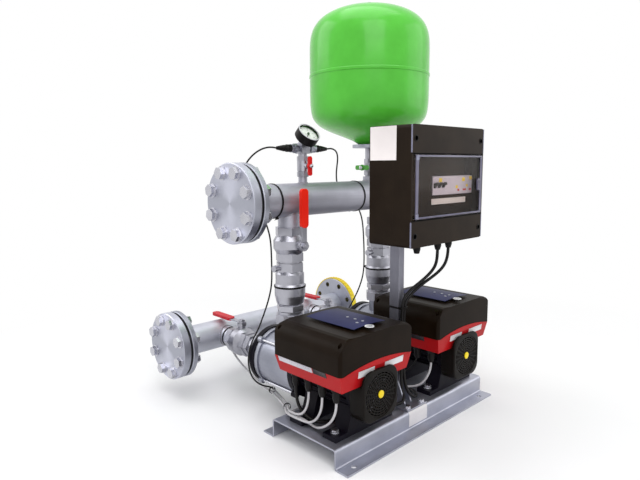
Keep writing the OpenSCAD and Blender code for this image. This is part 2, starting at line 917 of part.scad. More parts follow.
// Terminal covers: arched caps with rounded upper edges and a screw recess in each corner
screw_inset = 12;
screw_sink = 44;

// The cover from the front, over the middle of its arch; its round shoulders run out into the arch
module shoulder_outline() {
  rise = sqrt(pow(cover_arch - cover_shoulder, 2) - pow(cover_reach - cover_shoulder, 2)) + round_ease / 2;
  translate([0, rise + cover_shoulder - cover_height])
    soft_rect(2 * cover_reach, 2 * cover_height, cover_shoulder);
}

module terminal_cover() {
  crown = cover_seat + cover_height;
  difference() {
    intersection() {
      prism_z(cover_seat, crown + cut) cover_plan();
      translate([0, 0, crown - cover_arch]) prism_y(cover_front - cut, cover_rear + cut) shoulder_outline();
      translate([0, 0, crown - cover_arch]) turned_y() translate([cover_arch - cover_height, cover_mid])
        soft_rect(2 * cover_height, cover_length, cover_round);
    }
    flange_relief();
    for (x = [-1, 1], y = [-1, 1])
      translate([x * (cover_reach - screw_inset), cover_mid + y * (cover_length / 2 - screw_inset), 0])
        rod_z(crown - screw_sink, crown + cut, screw_recess_r);
  }
}

module terminal_covers() {
  color(dark_plastic) at_pumps() terminal_cover();
}

// Cable glands: a row under the left side of each terminal box, and three under the cabinet
gland_across = 22;
gland_hex = 10;
gland_dome = 26;
gland_tail = 8;
gland_thread_r = 8;
gland_dome_r = 9.5;
gland_bore_r = 4.5;
gland_count = 4;
gland_pitch = 47;
gland_inset = 32;
gland_lead = 43;
gland_x = -cover_reach + gland_inset;
gland_first = cover_front + gland_lead;
cabinet_gland_x = [-8, 85, 136];
cabinet_gland_y = cabinet_split + cabinet_box_depth / 2;

module at_glands() {
  for (i = [0 : gland_count - 1])
    translate([gland_x, gland_first + i * gland_pitch, box_floor]) children();
}

module at_cabinet_glands() {
  for (x = cabinet_gland_x) translate([x, cabinet_gland_y, cabinet_bottom]) children();
}

// One gland: its hexagon seats on z = 0 from below, its thread reaches up into the wall
module gland() {
  difference() {
    union() {
      rod_z(-gland_hex, gland_tail - moving_gap, gland_thread_r - seat_gap);
      hex_z(-gland_hex, 0, gland_across);
      translate([0, 0, -gland_hex - gland_dome]) rotate_extrude() polygon([
        [0, 0], [gland_dome_r * 0.7, 0], [gland_dome_r, gland_dome * 0.4],
        [gland_dome_r, gland_dome], [0, gland_dome]
      ]);
    }
    rod_z(-gland_hex - gland_dome - cut, 0, gland_bore_r);
  }
}

module cable_glands() {
  color(dark_plastic) {
    at_pumps() at_glands() gland();
    at_cabinet_glands() gland();
  }
}

// Pump hydraulics
module pump_sleeves() {
  color(stainless) at_pumps() difference() {
    union() {
      rod_y(sleeve_front, sleeve_rear, sleeve_r);
      translate([0, riser_y, 0]) rod_z(0, neck_height, neck_r);
    }
    rod_y(sleeve_front - cut, sleeve_rear + cut, sleeve_r - sleeve_wall);
    translate([0, riser_y, 0]) rod_z(0, neck_height + cut, bore_r);
  }
}

casing_wall = 6;

module pump_casings() {
  spigot_r = rim_inner_r - seat_gap;
  color(stainless) at_pumps() {
    difference() {
      union() {
        turned_y() polygon([
          [0, sleeve_rear], [casing_ring_r, sleeve_rear], [casing_ring_r, ring_rear],
          [spigot_r, ring_rear], [spigot_r, rim_rear - casing_wall / 2],
          [neck_r + casing_wall, rim_rear + casing_wall / 2], [neck_r, rim_rear + casing_wall],
          [neck_r, inlet_end], [0, inlet_end]
        ]);
        at_staybolts() rod_y(sleeve_rear, ring_rear, lug_r);
      }
      turned_y() polygon([
        [0, sleeve_rear - cut], [spigot_r - casing_wall, sleeve_rear - cut],
        [spigot_r - casing_wall, ring_rear], [bore_r, rim_rear - casing_wall], [0, rim_rear]
      ]);
      rod_y(sleeve_rear, inlet_end + cut, bore_r);
    }
  }
}

rim_round = 5;

module casing_rims() {
  color(dark_plastic) at_pumps() turned_y() difference() {
    union() {
      translate([rim_inner_r, ring_rear]) square([rim_r - rim_inner_r, rim_width - rim_round]);
      translate([rim_inner_r, ring_rear]) square([rim_r - rim_round - rim_inner_r, rim_width]);
      translate([rim_r - rim_round, rim_rear - rim_round]) circle(rim_round);
    }
    translate([0, ring_rear - rim_width]) square([rim_r + cut, rim_width]);
  }
}

module staybolts() {
  color(stainless) at_pumps() at_staybolts() rod_y(sleeve_front, sleeve_rear, staybolt_r);
}

// Union nuts: octagonal nuts over a smooth ring
union_ring = 8;

module union_nut(length) {
  across = union_across / 2 / cos(22.5);
  difference() {
    union() {
      rotate(22.5) cylinder(h = length - union_ring, r = across, $fn = 8);
      rod_z(length - union_ring, length, union_across / 2 - union_ring / 2);
    }
    rod_z(-cut, length + cut, bore_r);
  }
}

module union_nuts() {
  color(stainless) for (side = [-1, 1]) {
    translate([side * pump_x, riser_y, neck_top]) union_nut(discharge_union);
    translate([side * pump_x, inlet_end, shaft_height]) rotate([-90, 0, 0]) union_nut(suction_union);
  }
}

// Check valves: two screwed halves round a seat, with a sprung poppet and a drain plug
check_nipple = 19;
check_seat = 58;
check_belt = 26;
check_cavity_r = 34;
seat_r = 17;
seat_sheet = 6;
cavity_height = 44;
poppet_lift = 10;
poppet_r = 21;
poppet_sheet = 5;
guide_r = 4;
drain_reach = 56;
drain_r = 7;
check_across = 66;

module check_outline() {
  polygon([
    [0, 0], [neck_r, 0], [neck_r, check_nipple], [check_r - 5, check_nipple + 4],
    [check_r, check_nipple + check_belt], [check_r, check_nipple + 2 * check_belt],
    [check_r - 3, check_nipple + 2 * check_belt + 6], [check_r - 3, check_length - 34],
    [check_across / 2, check_length - 26], [neck_r, check_length - 2], [neck_r, check_length],
    [0, check_length]
  ]);
}

module check_valve() {
  plug_z = check_length - 16;
  difference() {
    union() {
      rotate_extrude() check_outline();
      hex_z(check_length - 28, check_length - 4, check_across);
      hex_z(2, check_nipple - 2, check_across);
      translate([0, 0, plug_z]) rod_x(-drain_reach + 8, -neck_r + cut, drain_r);
      translate([0, 0, plug_z]) rod_x(-drain_reach, -drain_reach + 8, drain_r + 2);
    }
    rod_z(-cut, check_seat - seat_sheet, bore_r);
    rod_z(check_seat - seat_sheet - cut, check_seat + cut, seat_r);
    rod_z(check_seat, check_seat + cavity_height, check_cavity_r);
    rod_z(check_seat + cavity_height - cut, check_length + cut, bore_r);
  }
  // Bridge with the bore that guides the poppet's stem
  difference() {
    translate([-check_cavity_r - 1, -guide_r * 1.5, check_seat + cavity_height - seat_sheet])
      cube([2 * check_cavity_r + 2, 3 * guide_r, seat_sheet]);
    rod_z(check_seat, check_length, guide_r + running_gap);
  }
}

module check_valves() {
  color(stainless) for (side = [-1, 1])
    translate([side * pump_x, riser_y, check_bottom]) check_valve();
}

module check_poppet() {
  rod_z(check_seat + moving_gap, check_seat + moving_gap + poppet_sheet, poppet_r);
  rod_z(check_seat + moving_gap, check_seat + cavity_height + seat_sheet, guide_r);
}

module check_poppet_left() {
  color("darkgray") translate([-pump_x, riser_y, check_bottom]) check_poppet();
}

module check_poppet_right() {
  color("darkgray") translate([pump_x, riser_y, check_bottom]) check_poppet();
}

// Ball valves: screwed bodies with a round belly and a stem boss
valve_hex = 22;
belly = 22;
boss_r = 12;
gland_nut = 8;
gland_nut_across = 26;

module stem_rod(from, to, r) {
  rotate([90, 0, 0]) rod_z(from, to, r);
}

module ball_valve() {
  half = valve_length / 2;
  boss_end = lever_offset - gland_nut - 1;
  difference() {
    union() {
      rod_z(-half, half, neck_r);
      hex_z(-half, -half + valve_hex, valve_across);
      hex_z(half - valve_hex, half, valve_across);
      rotate_extrude() polygon([
        [0, -half + valve_hex - 4], [valve_across / 2 - 1, -half + valve_hex - 4], [valve_r, -belly / 2],
        [valve_r, belly / 2], [valve_across / 2 - 1, half - valve_hex + 4], [0, half - valve_hex + 4]
      ]);
      stem_rod(0, boss_end, boss_r);
      rotate([90, 0, 0]) hex_z(boss_end - cut, boss_end + gland_nut, gland_nut_across);
    }
    sphere(ball_r + moving_gap);
    rod_z(-half - cut, half + cut, bore_r);
    stem_rod(0, lever_offset, stem_r + running_gap);
  }
}

// The hexagonal nipple in front of a suction valve
module suction_nipple_body() {
  half = valve_length / 2;
  difference() {
    union() {
      rod_z(-half - suction_nipple, -half, neck_r);
      hex_z(-half - suction_nipple * 0.7, -half, valve_across - 4);
    }
    rod_z(-half - suction_nipple - cut, -half + cut, bore_r);
  }
}

module ball_valves() {
  color(stainless) for (side = [-1, 1]) {
    at_discharge_valve(side) ball_valve();
    at_suction_valve(side) ball_valve();
    at_suction_valve(side) suction_nipple_body();
  }
}

// Valve lever: ball, stem, bent plate and nut, turning about the stem
lever_hub_r = 14;
lever_neck = 46;
stem_nut = 8;
grip_start = lever_length + 2 - grip_length;

module lever_plate_outline(gap) {
  circle(lever_hub_r);
  translate([-lever_width * 0.45, 0]) square([lever_width * 0.9, lever_neck + 1]);
  translate([-lever_width / 2 - gap, lever_neck])
    square([lever_width + 2 * gap, lever_length - lever_neck - 2 + gap]);
}

module valve_lever() {
  difference() {
    sphere(ball_r);
    rod_z(-ball_r, ball_r, bore_r);
  }
  stem_rod(bore_r + 2, lever_offset + lever_sheet + stem_nut, stem_r);
  prism_y(-lever_offset - lever_sheet, -lever_offset) lever_plate_outline(0);
  rotate([90, 0, 0]) hex_z(lever_offset + lever_sheet, lever_offset + lever_sheet + stem_nut - 2, stem_r * 3);
}

module valve_grip() {
  middle = -lever_offset - lever_sheet / 2;
  difference() {
    translate([0, middle, grip_start + grip_length / 2])
      prism_y(-grip_thickness / 2, grip_thickness / 2)
        soft_rect(grip_width, grip_length, grip_width / 2 - 2);
    prism_y(-lever_offset - lever_sheet - seat_gap, -lever_offset + seat_gap)
      lever_plate_outline(seat_gap);
  }
}

module discharge_lever_left() {
  color(stainless) at_discharge_valve(-1) valve_lever();
}

module discharge_lever_right() {
  color(stainless) at_discharge_valve(1) valve_lever();
}

module discharge_grip_left() {
  color(grip_red) at_discharge_valve(-1) valve_grip();
}

module discharge_grip_right() {
  color(grip_red) at_discharge_valve(1) valve_grip();
}

module suction_lever_left() {
  color(stainless) at_suction_valve(-1) valve_lever();
}

module suction_lever_right() {
  color(stainless) at_suction_valve(1) valve_lever();
}

module suction_grip_left() {
  color(grip_red) at_suction_valve(-1) valve_grip();
}

module suction_grip_right() {
  color(grip_red) at_suction_valve(1) valve_grip();
}

// Small stop valves with butterfly handles, under the gauge and under the tank
small_ball_r = 9.5;
small_bore_r = 5;
small_stem_r = 3;
small_boss = 22;
small_nut = 4;
wing_offset = 27;
wing_sheet = 4;
wing_width = 14;

module small_valve(length, body_r, middle) {
  difference() {
    union() {
      rod_z(0, length, body_r * 0.8);
      hex_z(4, 18, body_r * 1.9);
      hex_z(middle + 14, middle + 26, body_r * 1.9);
      translate([0, 0, middle]) rod_z(-14, 14, body_r);
      translate([0, 0, middle]) stem_rod(0, small_boss, body_r * 0.5);
    }
    translate([0, 0, middle]) sphere(small_ball_r + moving_gap);
    rod_z(-cut, length + cut, small_bore_r);
    translate([0, 0, middle]) stem_rod(0, wing_offset, small_stem_r + running_gap);
  }
}

// Butterfly handle with its stem and ball, the wings along Z
module butterfly() {
  difference() {
    sphere(small_ball_r);
    rod_z(-small_ball_r, small_ball_r, small_bore_r);
  }
  stem_rod(small_bore_r + 1, wing_offset + wing_sheet + small_nut, small_stem_r);
  rotate([90, 0, 0]) hex_z(wing_offset + wing_sheet, wing_offset + wing_sheet + small_nut - 1, 10);
  prism_y(-wing_offset - wing_sheet, -wing_offset) {
    circle(wing_width / 2 + 2);
    translate([0, butterfly_span / 4]) soft_rect(wing_width, butterfly_span / 2, wing_width / 2 - 1);
    translate([0, -butterfly_span / 4]) soft_rect(wing_width, butterfly_span / 2, wing_width / 2 - 1);
  }
}

gauge_body_r = 15;
gauge_valve_middle = 33;
cross_bottom = socket_top + gauge_valve_length;
cross_top = cross_bottom + cross_side;
cross_middle = cross_bottom + cross_side / 2;
gauge_socket = 8;
gauge_stem = 6;
gauge_start = gauge_socket + gauge_stem;
sensor_r = 11;
sensor_port_r = 8;

// The gauge's own frame has the dial's normal along Z and its root on top of the cross block
module at_gauge() {
  translate([-gauge_reach, riser_y, cross_top]) rotate([gauge_lean, 0, 0]) children();
}

module gauge_valve() {
  color(stainless) {
    difference() {
      union() {
        translate([-gauge_reach, riser_y, socket_top])
          small_valve(gauge_valve_length, gauge_body_r, gauge_valve_middle);
        translate([-gauge_reach - cross_side / 2, riser_y - cross_side / 2, cross_bottom])
          cube(cross_side);
        at_gauge() rod_z(-gauge_socket, gauge_socket, sensor_r);
      }
      at_gauge() rod_z(-gauge_socket, gauge_socket + cut, sensor_port_r / 2);
    }
  }
}

module gauge_valve_handle() {
  color(grip_red) translate([-gauge_reach, riser_y, socket_top + gauge_valve_middle]) butterfly();
}

module pressure_sensor() {
  rod_x(cross_side / 2, cross_side / 2 + sensor_length, sensor_port_r);
  translate([cross_side / 2 + sensor_length / 3, 0, 0])
    rotate([0, 90, 0]) hex_z(0, sensor_length / 3, sensor_r * 2);
  rod_x(cross_side / 2 + sensor_length * 2 / 3, cross_side / 2 + sensor_length, sensor_r);
}

module at_sensors() {
  for (turn = [0, 180]) translate([-gauge_reach, riser_y, cross_middle]) rotate([0, 0, turn]) children();
}

module pressure_sensors() {
  color(stainless) at_sensors() pressure_sensor();
}

plug_start = cross_side / 2 + sensor_length;
plug_end = plug_start + plug_length;
plug_r = 10;
plug_tail_r = 4.5;

module sensor_plugs() {
  color(dark_plastic) at_sensors() turned_x() polygon([
    [0, plug_start], [plug_r, plug_start], [plug_r, plug_start + plug_length * 0.3],
    [plug_r - 1.5, plug_start + plug_length * 0.35], [plug_r - 1.5, plug_start + plug_length * 0.5],
    [plug_tail_r, plug_end], [0, plug_end]
  ]);
}

// Gauge: a cup with a dial, a glass disc and a turning needle
gauge_rim = 3;
dial_depth = 9;
glass_sheet = 2;
needle_sheet = 1;
needle_length = 22;
hub_r = 3.5;
arbor_r = 1.2;
gauge_front = gauge_start + gauge_depth;
dial_z = gauge_front - dial_depth;

module gauge_case() {
  color(dark_plastic) at_gauge() difference() {
    union() {
      rod_z(gauge_socket, gauge_start, sensor_port_r);
      rotate_extrude() polygon([
        [0, gauge_start], [gauge_r - gauge_rim, gauge_start], [gauge_r, gauge_start + gauge_rim],
        [gauge_r, gauge_front - 1], [gauge_r - 1, gauge_front], [0, gauge_front]
      ]);
    }
    rod_z(dial_z, gauge_front + cut, gauge_r - gauge_rim);
    rod_z(dial_z - gauge_rim, dial_z + cut, arbor_r + running_gap);
  }
}

module gauge_glass() {
  color("aliceblue", 0.4) at_gauge()
    rod_z(gauge_front - glass_sheet - 1, gauge_front - 1, gauge_r - gauge_rim - seat_gap);
}

module gauge_needle() {
  color("black") at_gauge() {
    rod_z(dial_z - gauge_rim + moving_gap, dial_z + 4, arbor_r);
    rod_z(dial_z + 2, dial_z + 4, hub_r);
    prism_z(dial_z + 2, dial_z + 2 + needle_sheet) rotate(gauge_rest)
      polygon([[-1.2, -8], [1.2, -8], [0.5, needle_length], [-0.5, needle_length]]);
  }
}

// Angle of the needle at zero pressure, from the top of the dial
gauge_rest = 135;

// Diaphragm tank
tank_bottom = socket_top + tank_valve_length + 9;
tank_z = tank_bottom + tank_height / 2;
bead_height = 10;
bead_proud = 2;
tank_port_r = 30;
head_drop = sqrt(pow(tank_crown - tank_knuckle, 2) - pow(tank_r - tank_knuckle, 2));
head_height = tank_crown - head_drop;
head_start = tank_height / 2 - head_height;
head_join = tank_crown * (tank_r - tank_knuckle) / (tank_crown - tank_knuckle);

// Half the tank's outline above its middle, drawn inwards by a sheet thickness
module tank_half_outline(inset) {
  square([tank_r - inset, head_start]);
  intersection() {
    translate([0, head_start - head_drop]) circle(tank_crown - inset, $fn = 256);
    translate([0, head_start]) square([head_join, head_height]);
  }
  intersection() {
    translate([tank_r - tank_knuckle, head_start]) circle(tank_knuckle - inset);
    translate([tank_r - 2 * tank_knuckle, head_start]) square([2 * tank_knuckle, head_height]);
  }
}

module tank_outline(inset) {
  tank_half_outline(inset);
  mirror([0, 1]) tank_half_outline(inset);
}

module tank_shell() {
  color(tank_green) translate([tank_reach, riser_y, tank_z]) rotate_extrude() difference() {
    union() {
      tank_outline(0);
      translate([tank_r - bead_proud, -bead_height / 2]) square([2 * bead_proud, bead_height]);
    }
    tank_outline(tank_wall);
    translate([0, -tank_height]) square([tank_port_r, tank_height]);
    translate([0, tank_height / 4]) square([tank_cap_r, tank_height]);
  }
}

tank_cap_r = 14;
tank_cap_height = 11;
tank_flange_sheet = 9;
tank_stem_r = 17;

module tank_flange() {
  color(stainless) translate([tank_reach, riser_y, tank_bottom]) difference() {
    union() {
      rod_z(-tank_flange_sheet, 0.7, tank_flange_r);
      rod_z(0, tank_flange_sheet, tank_port_r - seat_gap);
    }
    rod_z(-tank_flange_sheet - cut, tank_flange_sheet + cut, tank_stem_r / 2);
  }
}

module tank_cap() {
  color(dark_plastic) translate([tank_reach, riser_y, tank_bottom + tank_height]) rotate_extrude() polygon([
    [0, -4], [tank_cap_r - seat_gap, -4], [tank_cap_r - seat_gap, tank_cap_height - 3],
    [tank_cap_r - 3, tank_cap_height], [0, tank_cap_height]
  ]);
}

tank_body_r = 13;
tank_valve_middle = 27;

module tank_valve() {
  color(stainless) translate([tank_reach, riser_y, socket_top]) rotate(-90)
    small_valve(tank_valve_length, tank_body_r, tank_valve_middle);
}

module tank_valve_handle() {
  color("forestgreen") translate([tank_reach, riser_y, socket_top + tank_valve_middle])
    rotate(-90) rotate([0, 90, 0]) butterfly();
}

// Control cabinet: a rear box and a cover with a recess behind a transparent door
door_side = 6;
door_gap = 1;
recess_width = cabinet_width - 2 * door_side;
hinge_inset = 5;
hinge_r = 4;
hinge_pin_r = 1.5;
hinge_pin = 3;
hinge_x = -recess_width / 2 + hinge_inset;
hinge_y = cabinet_front + 2;
recess_floor = cabinet_front + recess_depth;
row_width = module_count * module_pitch;
nose_height = 45;
row_shift = 54;
row_start = row_shift - row_width / 2;

module cabinet_outline(inset) {
  translate([0, cabinet_middle])
    soft_rect(cabinet_width - 2 * inset, cabinet_height - 2 * inset, cabinet_corner - inset);
}

module cabinet_box() {
  color(dark_plastic) difference() {
    prism_y(cabinet_split, cabinet_back) cabinet_outline(0);
    prism_y(cabinet_split - cut, cabinet_back - cabinet_wall) cabinet_outline(cabinet_wall);
    at_cabinet_glands() rod_z(-cut, cabinet_wall + cut, gland_thread_r);
  }
}

module recess_outline(margin) {
  translate([0, door_middle]) square([recess_width + 2 * margin, door_height + 2 * margin], center = true);
}

module cabinet_cover() {
  color(dark_plastic) difference() {
    union() {
      difference() {
        prism_y(cabinet_front, cabinet_split) cabinet_outline(0);
        prism_y(cabinet_front + cabinet_wall, cabinet_split + cut) cabinet_outline(cabinet_wall);
      }
      prism_y(cabinet_front, recess_floor + cabinet_wall) recess_outline(cabinet_wall);
    }
    prism_y(cabinet_front - cut, recess_floor) recess_outline(0);
    translate([row_shift, 0, door_middle]) prism_y(recess_floor - cut, recess_floor + cabinet_wall + cut)
      square([row_width + 2, nose_height + 2], center = true);
    translate([hinge_x, hinge_y, 0])
      rod_z(door_bottom - hinge_pin, door_bottom + door_height + hinge_pin, hinge_pin_r + running_gap);
  }
}

module cabinet_door() {
  reach = recess_width / 2 - door_gap - hinge_x;
  bottom = door_bottom + door_gap;
  top = door_bottom + door_height - door_gap;
  color("lightgray", 0.35) translate([hinge_x, hinge_y, 0]) {
    rod_z(bottom, top, hinge_r);
    rod_z(bottom - hinge_pin, top + hinge_pin, hinge_pin_r);
    translate([0, -3, bottom]) cube([reach, door_sheet, top - bottom]);
    translate([reach - 24, -7, door_middle - 14]) cube([10, 5, 28]);
  }
}

// Modules on a top-hat rail: bodies with a narrower nose that fills the cover's slot
rail_y = cabinet_back - cabinet_wall;
rail_standoff = 12;
module_back = rail_y - rail_standoff;
module_face = recess_floor + cabinet_wall + moving_gap;
nose_face = recess_floor - 2;
body_height = 84;
din_height = 35;
din_reach = row_width / 2 + 4;
toggle_modules = 3;
toggle_r = 6;
toggle_y = nose_face + 3;
toggle_lever = 12;
toggle_width = 10;

module at_modules(from, to) {
  for (i = [from : to])
    translate([row_start + (i + 0.5) * module_pitch, 0, door_middle]) children();
}

module rail_module() {
  half = module_pitch / 2 - seat_gap;
  translate([-half, module_face, -body_height / 2])
    cube([2 * half, module_back - module_face, body_height]);
  translate([-half, nose_face, -nose_height / 2])
    cube([2 * half, module_face - nose_face + cut, nose_height]);
}

module breakers() {
  color("gainsboro") {
    difference() {
      at_modules(0, module_count - 1) rail_module();
      at_modules(0, toggle_modules - 1) translate([0, toggle_y, 0])
        rod_x(-toggle_width / 2 - moving_gap, toggle_width / 2 + moving_gap, toggle_r + moving_gap);
      at_modules(0, toggle_modules - 1) translate([0, toggle_y, 0])
        translate([-toggle_width / 2 - moving_gap, -toggle_r * 2, -toggle_r - moving_gap])
          cube([toggle_width + 2 * moving_gap, toggle_r * 2, 2 * toggle_r + 2 * moving_gap]);
    }
    translate([row_shift - din_reach, module_back, door_middle - din_height / 2])
      cube([2 * din_reach, rail_standoff, din_height]);
  }
}

// The main switch's three toggles, joined by a bar, turn together
toggle_tilt = 25;

module main_switch_toggle() {
  first = row_start + module_pitch / 2;
  color("#202020") translate([0, toggle_y, door_middle]) rotate([-toggle_tilt, 0, 0]) {
    for (i = [0 : toggle_modules - 1]) translate([first + i * module_pitch, 0, 0]) {
      rod_x(-toggle_width / 2, toggle_width / 2, toggle_r);
      translate([-toggle_width / 2, -toggle_lever, -toggle_r / 2])
        cube([toggle_width, toggle_lever, toggle_r]);
    }
    translate([first, -toggle_lever, -toggle_r / 4])
      cube([(toggle_modules - 1) * module_pitch, 3, toggle_r / 2]);
  }
}

// Cables: tubes swept along round points
function unit(v) = v / norm(v);
function heading(path, i) = unit(path[min(i + 1, len(path) - 1)] - path[max(i - 1, 0)]);
function upright(t) = abs(t[2]) < 0.8 ? [0, 0, 1] : [1, 0, 0];
function carried(n, t) = unit(n - (n * t) * t);
function normals(path, i = 0, done = []) =
  i == len(path) ? done
  : normals(path, i + 1, concat(done, [
    i == 0 ? unit(cross(heading(path, 0), upright(heading(path, 0))))
    : carried(done[i - 1], heading(path, i))
  ]));

module tube(path, r, sides) {
  across = normals(path);
  points = [for (i = [0 : len(path) - 1], k = [0 : sides - 1])
    path[i] + r * (cos(k * 360 / sides) * across[i]
      + sin(k * 360 / sides) * cross(heading(path, i), across[i]))];
  walls = [for (i = [0 : len(path) - 2], k = [0 : sides - 1])
    [i * sides + k, i * sides + (k + 1) % sides, (i + 1) * sides + (k + 1) % sides, (i + 1) * sides + k]];
  last = (len(path) - 1) * sides;
  front = [for (k = [0 : sides - 1]) sides - 1 - k];
  back = [for (k = [0 : sides - 1]) last + k];
  polyhedron(points, concat(walls, [front, back]));
}

// Two supply cables from the cabinet down the post to the pumps
supply_r = 4.2;
supply_routes = [
  [[85, -103, 480], [85, -103, 445], [81, -101, 420], [66, -91, 398], [44, -77, 377], [20, -63, 358],
   [2, -57, 340], [-5, -56, 316], [-5, -56, 220], [-5, -56, 130], [-5, -61, 95], [-7, -76, 70], [-16, -87, 60],
   [-40, -68, 60], [-62, -36, 56], [-84, -18, 55], [-130, -13, 55], [-187, -13, 55], [-240, -8, 55],
   [-268, 14, 60], [-284, 44, 86], [-286.5, 53, 120], [-286.5, 53, 156]],
  [[136, -103, 480], [136, -103, 448], [130, -100, 420], [110, -92, 399], [82, -81, 382], [52, -69, 364],
   [26, -60, 344], [9, -56, 324], [5, -56, 304], [5, -56, 200], [5, -56, 130], [5, -61, 95], [7, -76, 70],
   [18, -86, 60], [42, -66, 59], [62, -36, 55], [77, 0, 56], [86, 32, 82], [88.5, 53, 118], [88.5, 53, 156]]
];

// Thin leads of the two pressure sensors, down the risers and round the clamp rims
lead_r = 2.2;
lead_routes = [
  [[-226.5, 186, 735], [-250, 187, 738], [-276, 193, 731], [-297, 206, 712], [-306, 224, 685], [-303, 240, 650],
   [-290, 246, 610], [-266, 234, 566], [-247, 214, 546], [-237, 216, 524], [-222, 222, 490], [-221, 222, 430],
   [-221, 222, 372], [-224, 228, 340], [-226, 240, 306], [-232, 256, 264], [-242, 263, 232], [-266, 264, 204],
   [-280, 264, 156], [-270, 264, 106], [-246, 262, 78], [-224, 256, 66], [-207, 250, 61], [-209, 240.5, 58]],
  [[-45.5, 186, 735], [-22, 187, 738], [4, 192, 729], [22, 206, 706], [34, 226, 672], [48, 238, 634],
   [69, 238, 598], [110, 238, 584], [146, 240, 560], [163, 238, 528], [168, 236, 490], [168, 232, 430],
   [168, 231, 372], [166, 234, 330], [154, 246, 280], [134, 260, 236], [109, 264, 204], [95, 264, 156],
   [105, 264, 106], [122, 252, 76], [118, 200, 64], [102, 150, 60], [90, 112, 62], [80, 72, 66], [74, 30, 78],
   [76, -12, 100], [86, -36, 128], [88.5, -41, 156]]
];

// Grey leads from the left pump: to the right pump, to the suction branch and to the first sensor lead
signal_r = 3;
signal_routes = [
  [[-286.5, -88, 156], [-286.5, -88, 128], [-290, -78, 100], [-290, -52, 76], [-284, -20, 60], [-278, 5, 57],
   [-282, 30, 66], [-286.5, 54, 66], [-285, 80, 66], [-271, 97, 56], [-240, 104, 54], [-190, 104, 54],
   [-110, 104, 54], [-40, 98, 54], [10, 70, 54], [44, 26, 54], [57, 0, 59], [66, -26, 64], [75, -58, 72], [80, -80, 98],
   [88.5, -88, 128], [88.5, -88, 156]],
  [[-286.5, -41, 156], [-286.5, -41, 126], [-289, -34, 98], [-290, -14, 76], [-290, 8, 66], [-292, 30, 67],
   [-293, 54, 66], [-292, 81, 66], [-277, 106, 59], [-259, 126, 57], [-239, 178, 57], [-223, 222, 56],
   [-217.5, 240, 55.5], [-216, 270, 54], [-206, 310, 57], [-198, 360, 66], [-195, 410, 82], [-193, 450, 102],
   [-191, 472, 119]],
  [[-286.5, 6, 156], [-286.5, 6, 130], [-289, 11, 102], [-291, 26, 82], [-289.5, 52, 73], [-287, 82, 72.5],
   [-267, 107, 63], [-250, 126, 59], [-231, 178, 59], [-213, 224, 58], [-209, 239.5, 58]]
];

module black_cables() {
  color("#111111") {
    for (route = supply_routes) tube(route, supply_r, 10);
    for (route = lead_routes) tube(route, lead_r, 8);
  }
}

module grey_cables() {
  color("lightgray") for (route = signal_routes) tube(route, signal_r, 8);
}

// Cable ties: round the manifold, the risers, the suction branch, the post and the bundles;
// a bundle's tie has its place and its turn about Z
tie_width = 5;
tie_sheet = 1.4;
manifold_tie_x = [-245, 69];
riser_tie_z = 365;
branch_tie = 16;
post_tie_z = 312;
bundle_tie_r = 8.3;
bundle_ties = [[[-213.5, 240, 57], -8], [[-254.5, 126, 58], -32]];

module tie_band(r) {
  difference() {
    rod_z(-tie_width / 2, tie_width / 2, r + tie_sheet);
    rod_z(-tie_width, tie_width, r);
  }
}

module cable_ties() {
  color(dark_plastic) {
    for (x = manifold_tie_x)
      translate([x, riser_y, discharge_z]) rotate([0, 90, 0]) tie_band(pipe_r + seat_gap);
    for (x = [-pump_x, pump_x]) {
      translate([x, riser_y, riser_tie_z]) tie_band(check_r + seat_gap);
      translate([x, suction_valve_rear + branch_tie, shaft_height]) rotate([90, 0, 0])
        tie_band(branch_r + seat_gap);
    }
    for (tie = bundle_ties) translate(tie[0]) rotate([90, 0, tie[1]]) tie_band(bundle_tie_r);
    post_tie();
  }
}

// The tie round the post and its two cables
module post_tie() {
  rear = -post_setback + post_depth / 2 + seat_gap;
  front = post_front - 3 * supply_r;
  translate([0, (front + rear) / 2, 0]) prism_z(post_tie_z - tie_width / 2, post_tie_z + tie_width / 2)
    difference() {
      soft_rect(post_width + 2 * seat_gap + 2 * tie_sheet, rear - front + 2 * tie_sheet, 2 * tie_sheet);
      square([post_width + 2 * seat_gap, rear - front], center = true);
    }
}

base_frame();
stand_foot();
cabinet_post();
cabinet_rails();
frame_bolts();
suction_manifold();
discharge_manifold();
loose_flanges();
blind_flanges();
flange_gaskets();
flange_bolts();
suction_flange_cover();
discharge_flange_cover();
motor_housings();
fan_covers();
stators();
motor_bearings();
shaft_seals();
terminal_boxes();
terminal_covers();
pump_sleeves();
pump_casings();
casing_rims();
staybolts();
cable_glands();
rotor_left();
rotor_right();
union_nuts();
check_valves();
check_poppet_left();
check_poppet_right();
ball_valves();
discharge_lever_left();
discharge_lever_right();
discharge_grip_left();
discharge_grip_right();
suction_lever_left();
suction_lever_right();
suction_grip_left();
suction_grip_right();
gauge_valve();
gauge_valve_handle();
pressure_sensors();
sensor_plugs();
gauge_case();
gauge_glass();
gauge_needle();
tank_shell();
tank_flange();
tank_cap();
tank_valve();
tank_valve_handle();
cabinet_box();
cabinet_cover();
cabinet_door();
breakers();
main_switch_toggle();
cable_ties();
black_cables();
grey_cables();
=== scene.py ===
import math

import bmesh
import bpy
from mathutils import Matrix, Vector


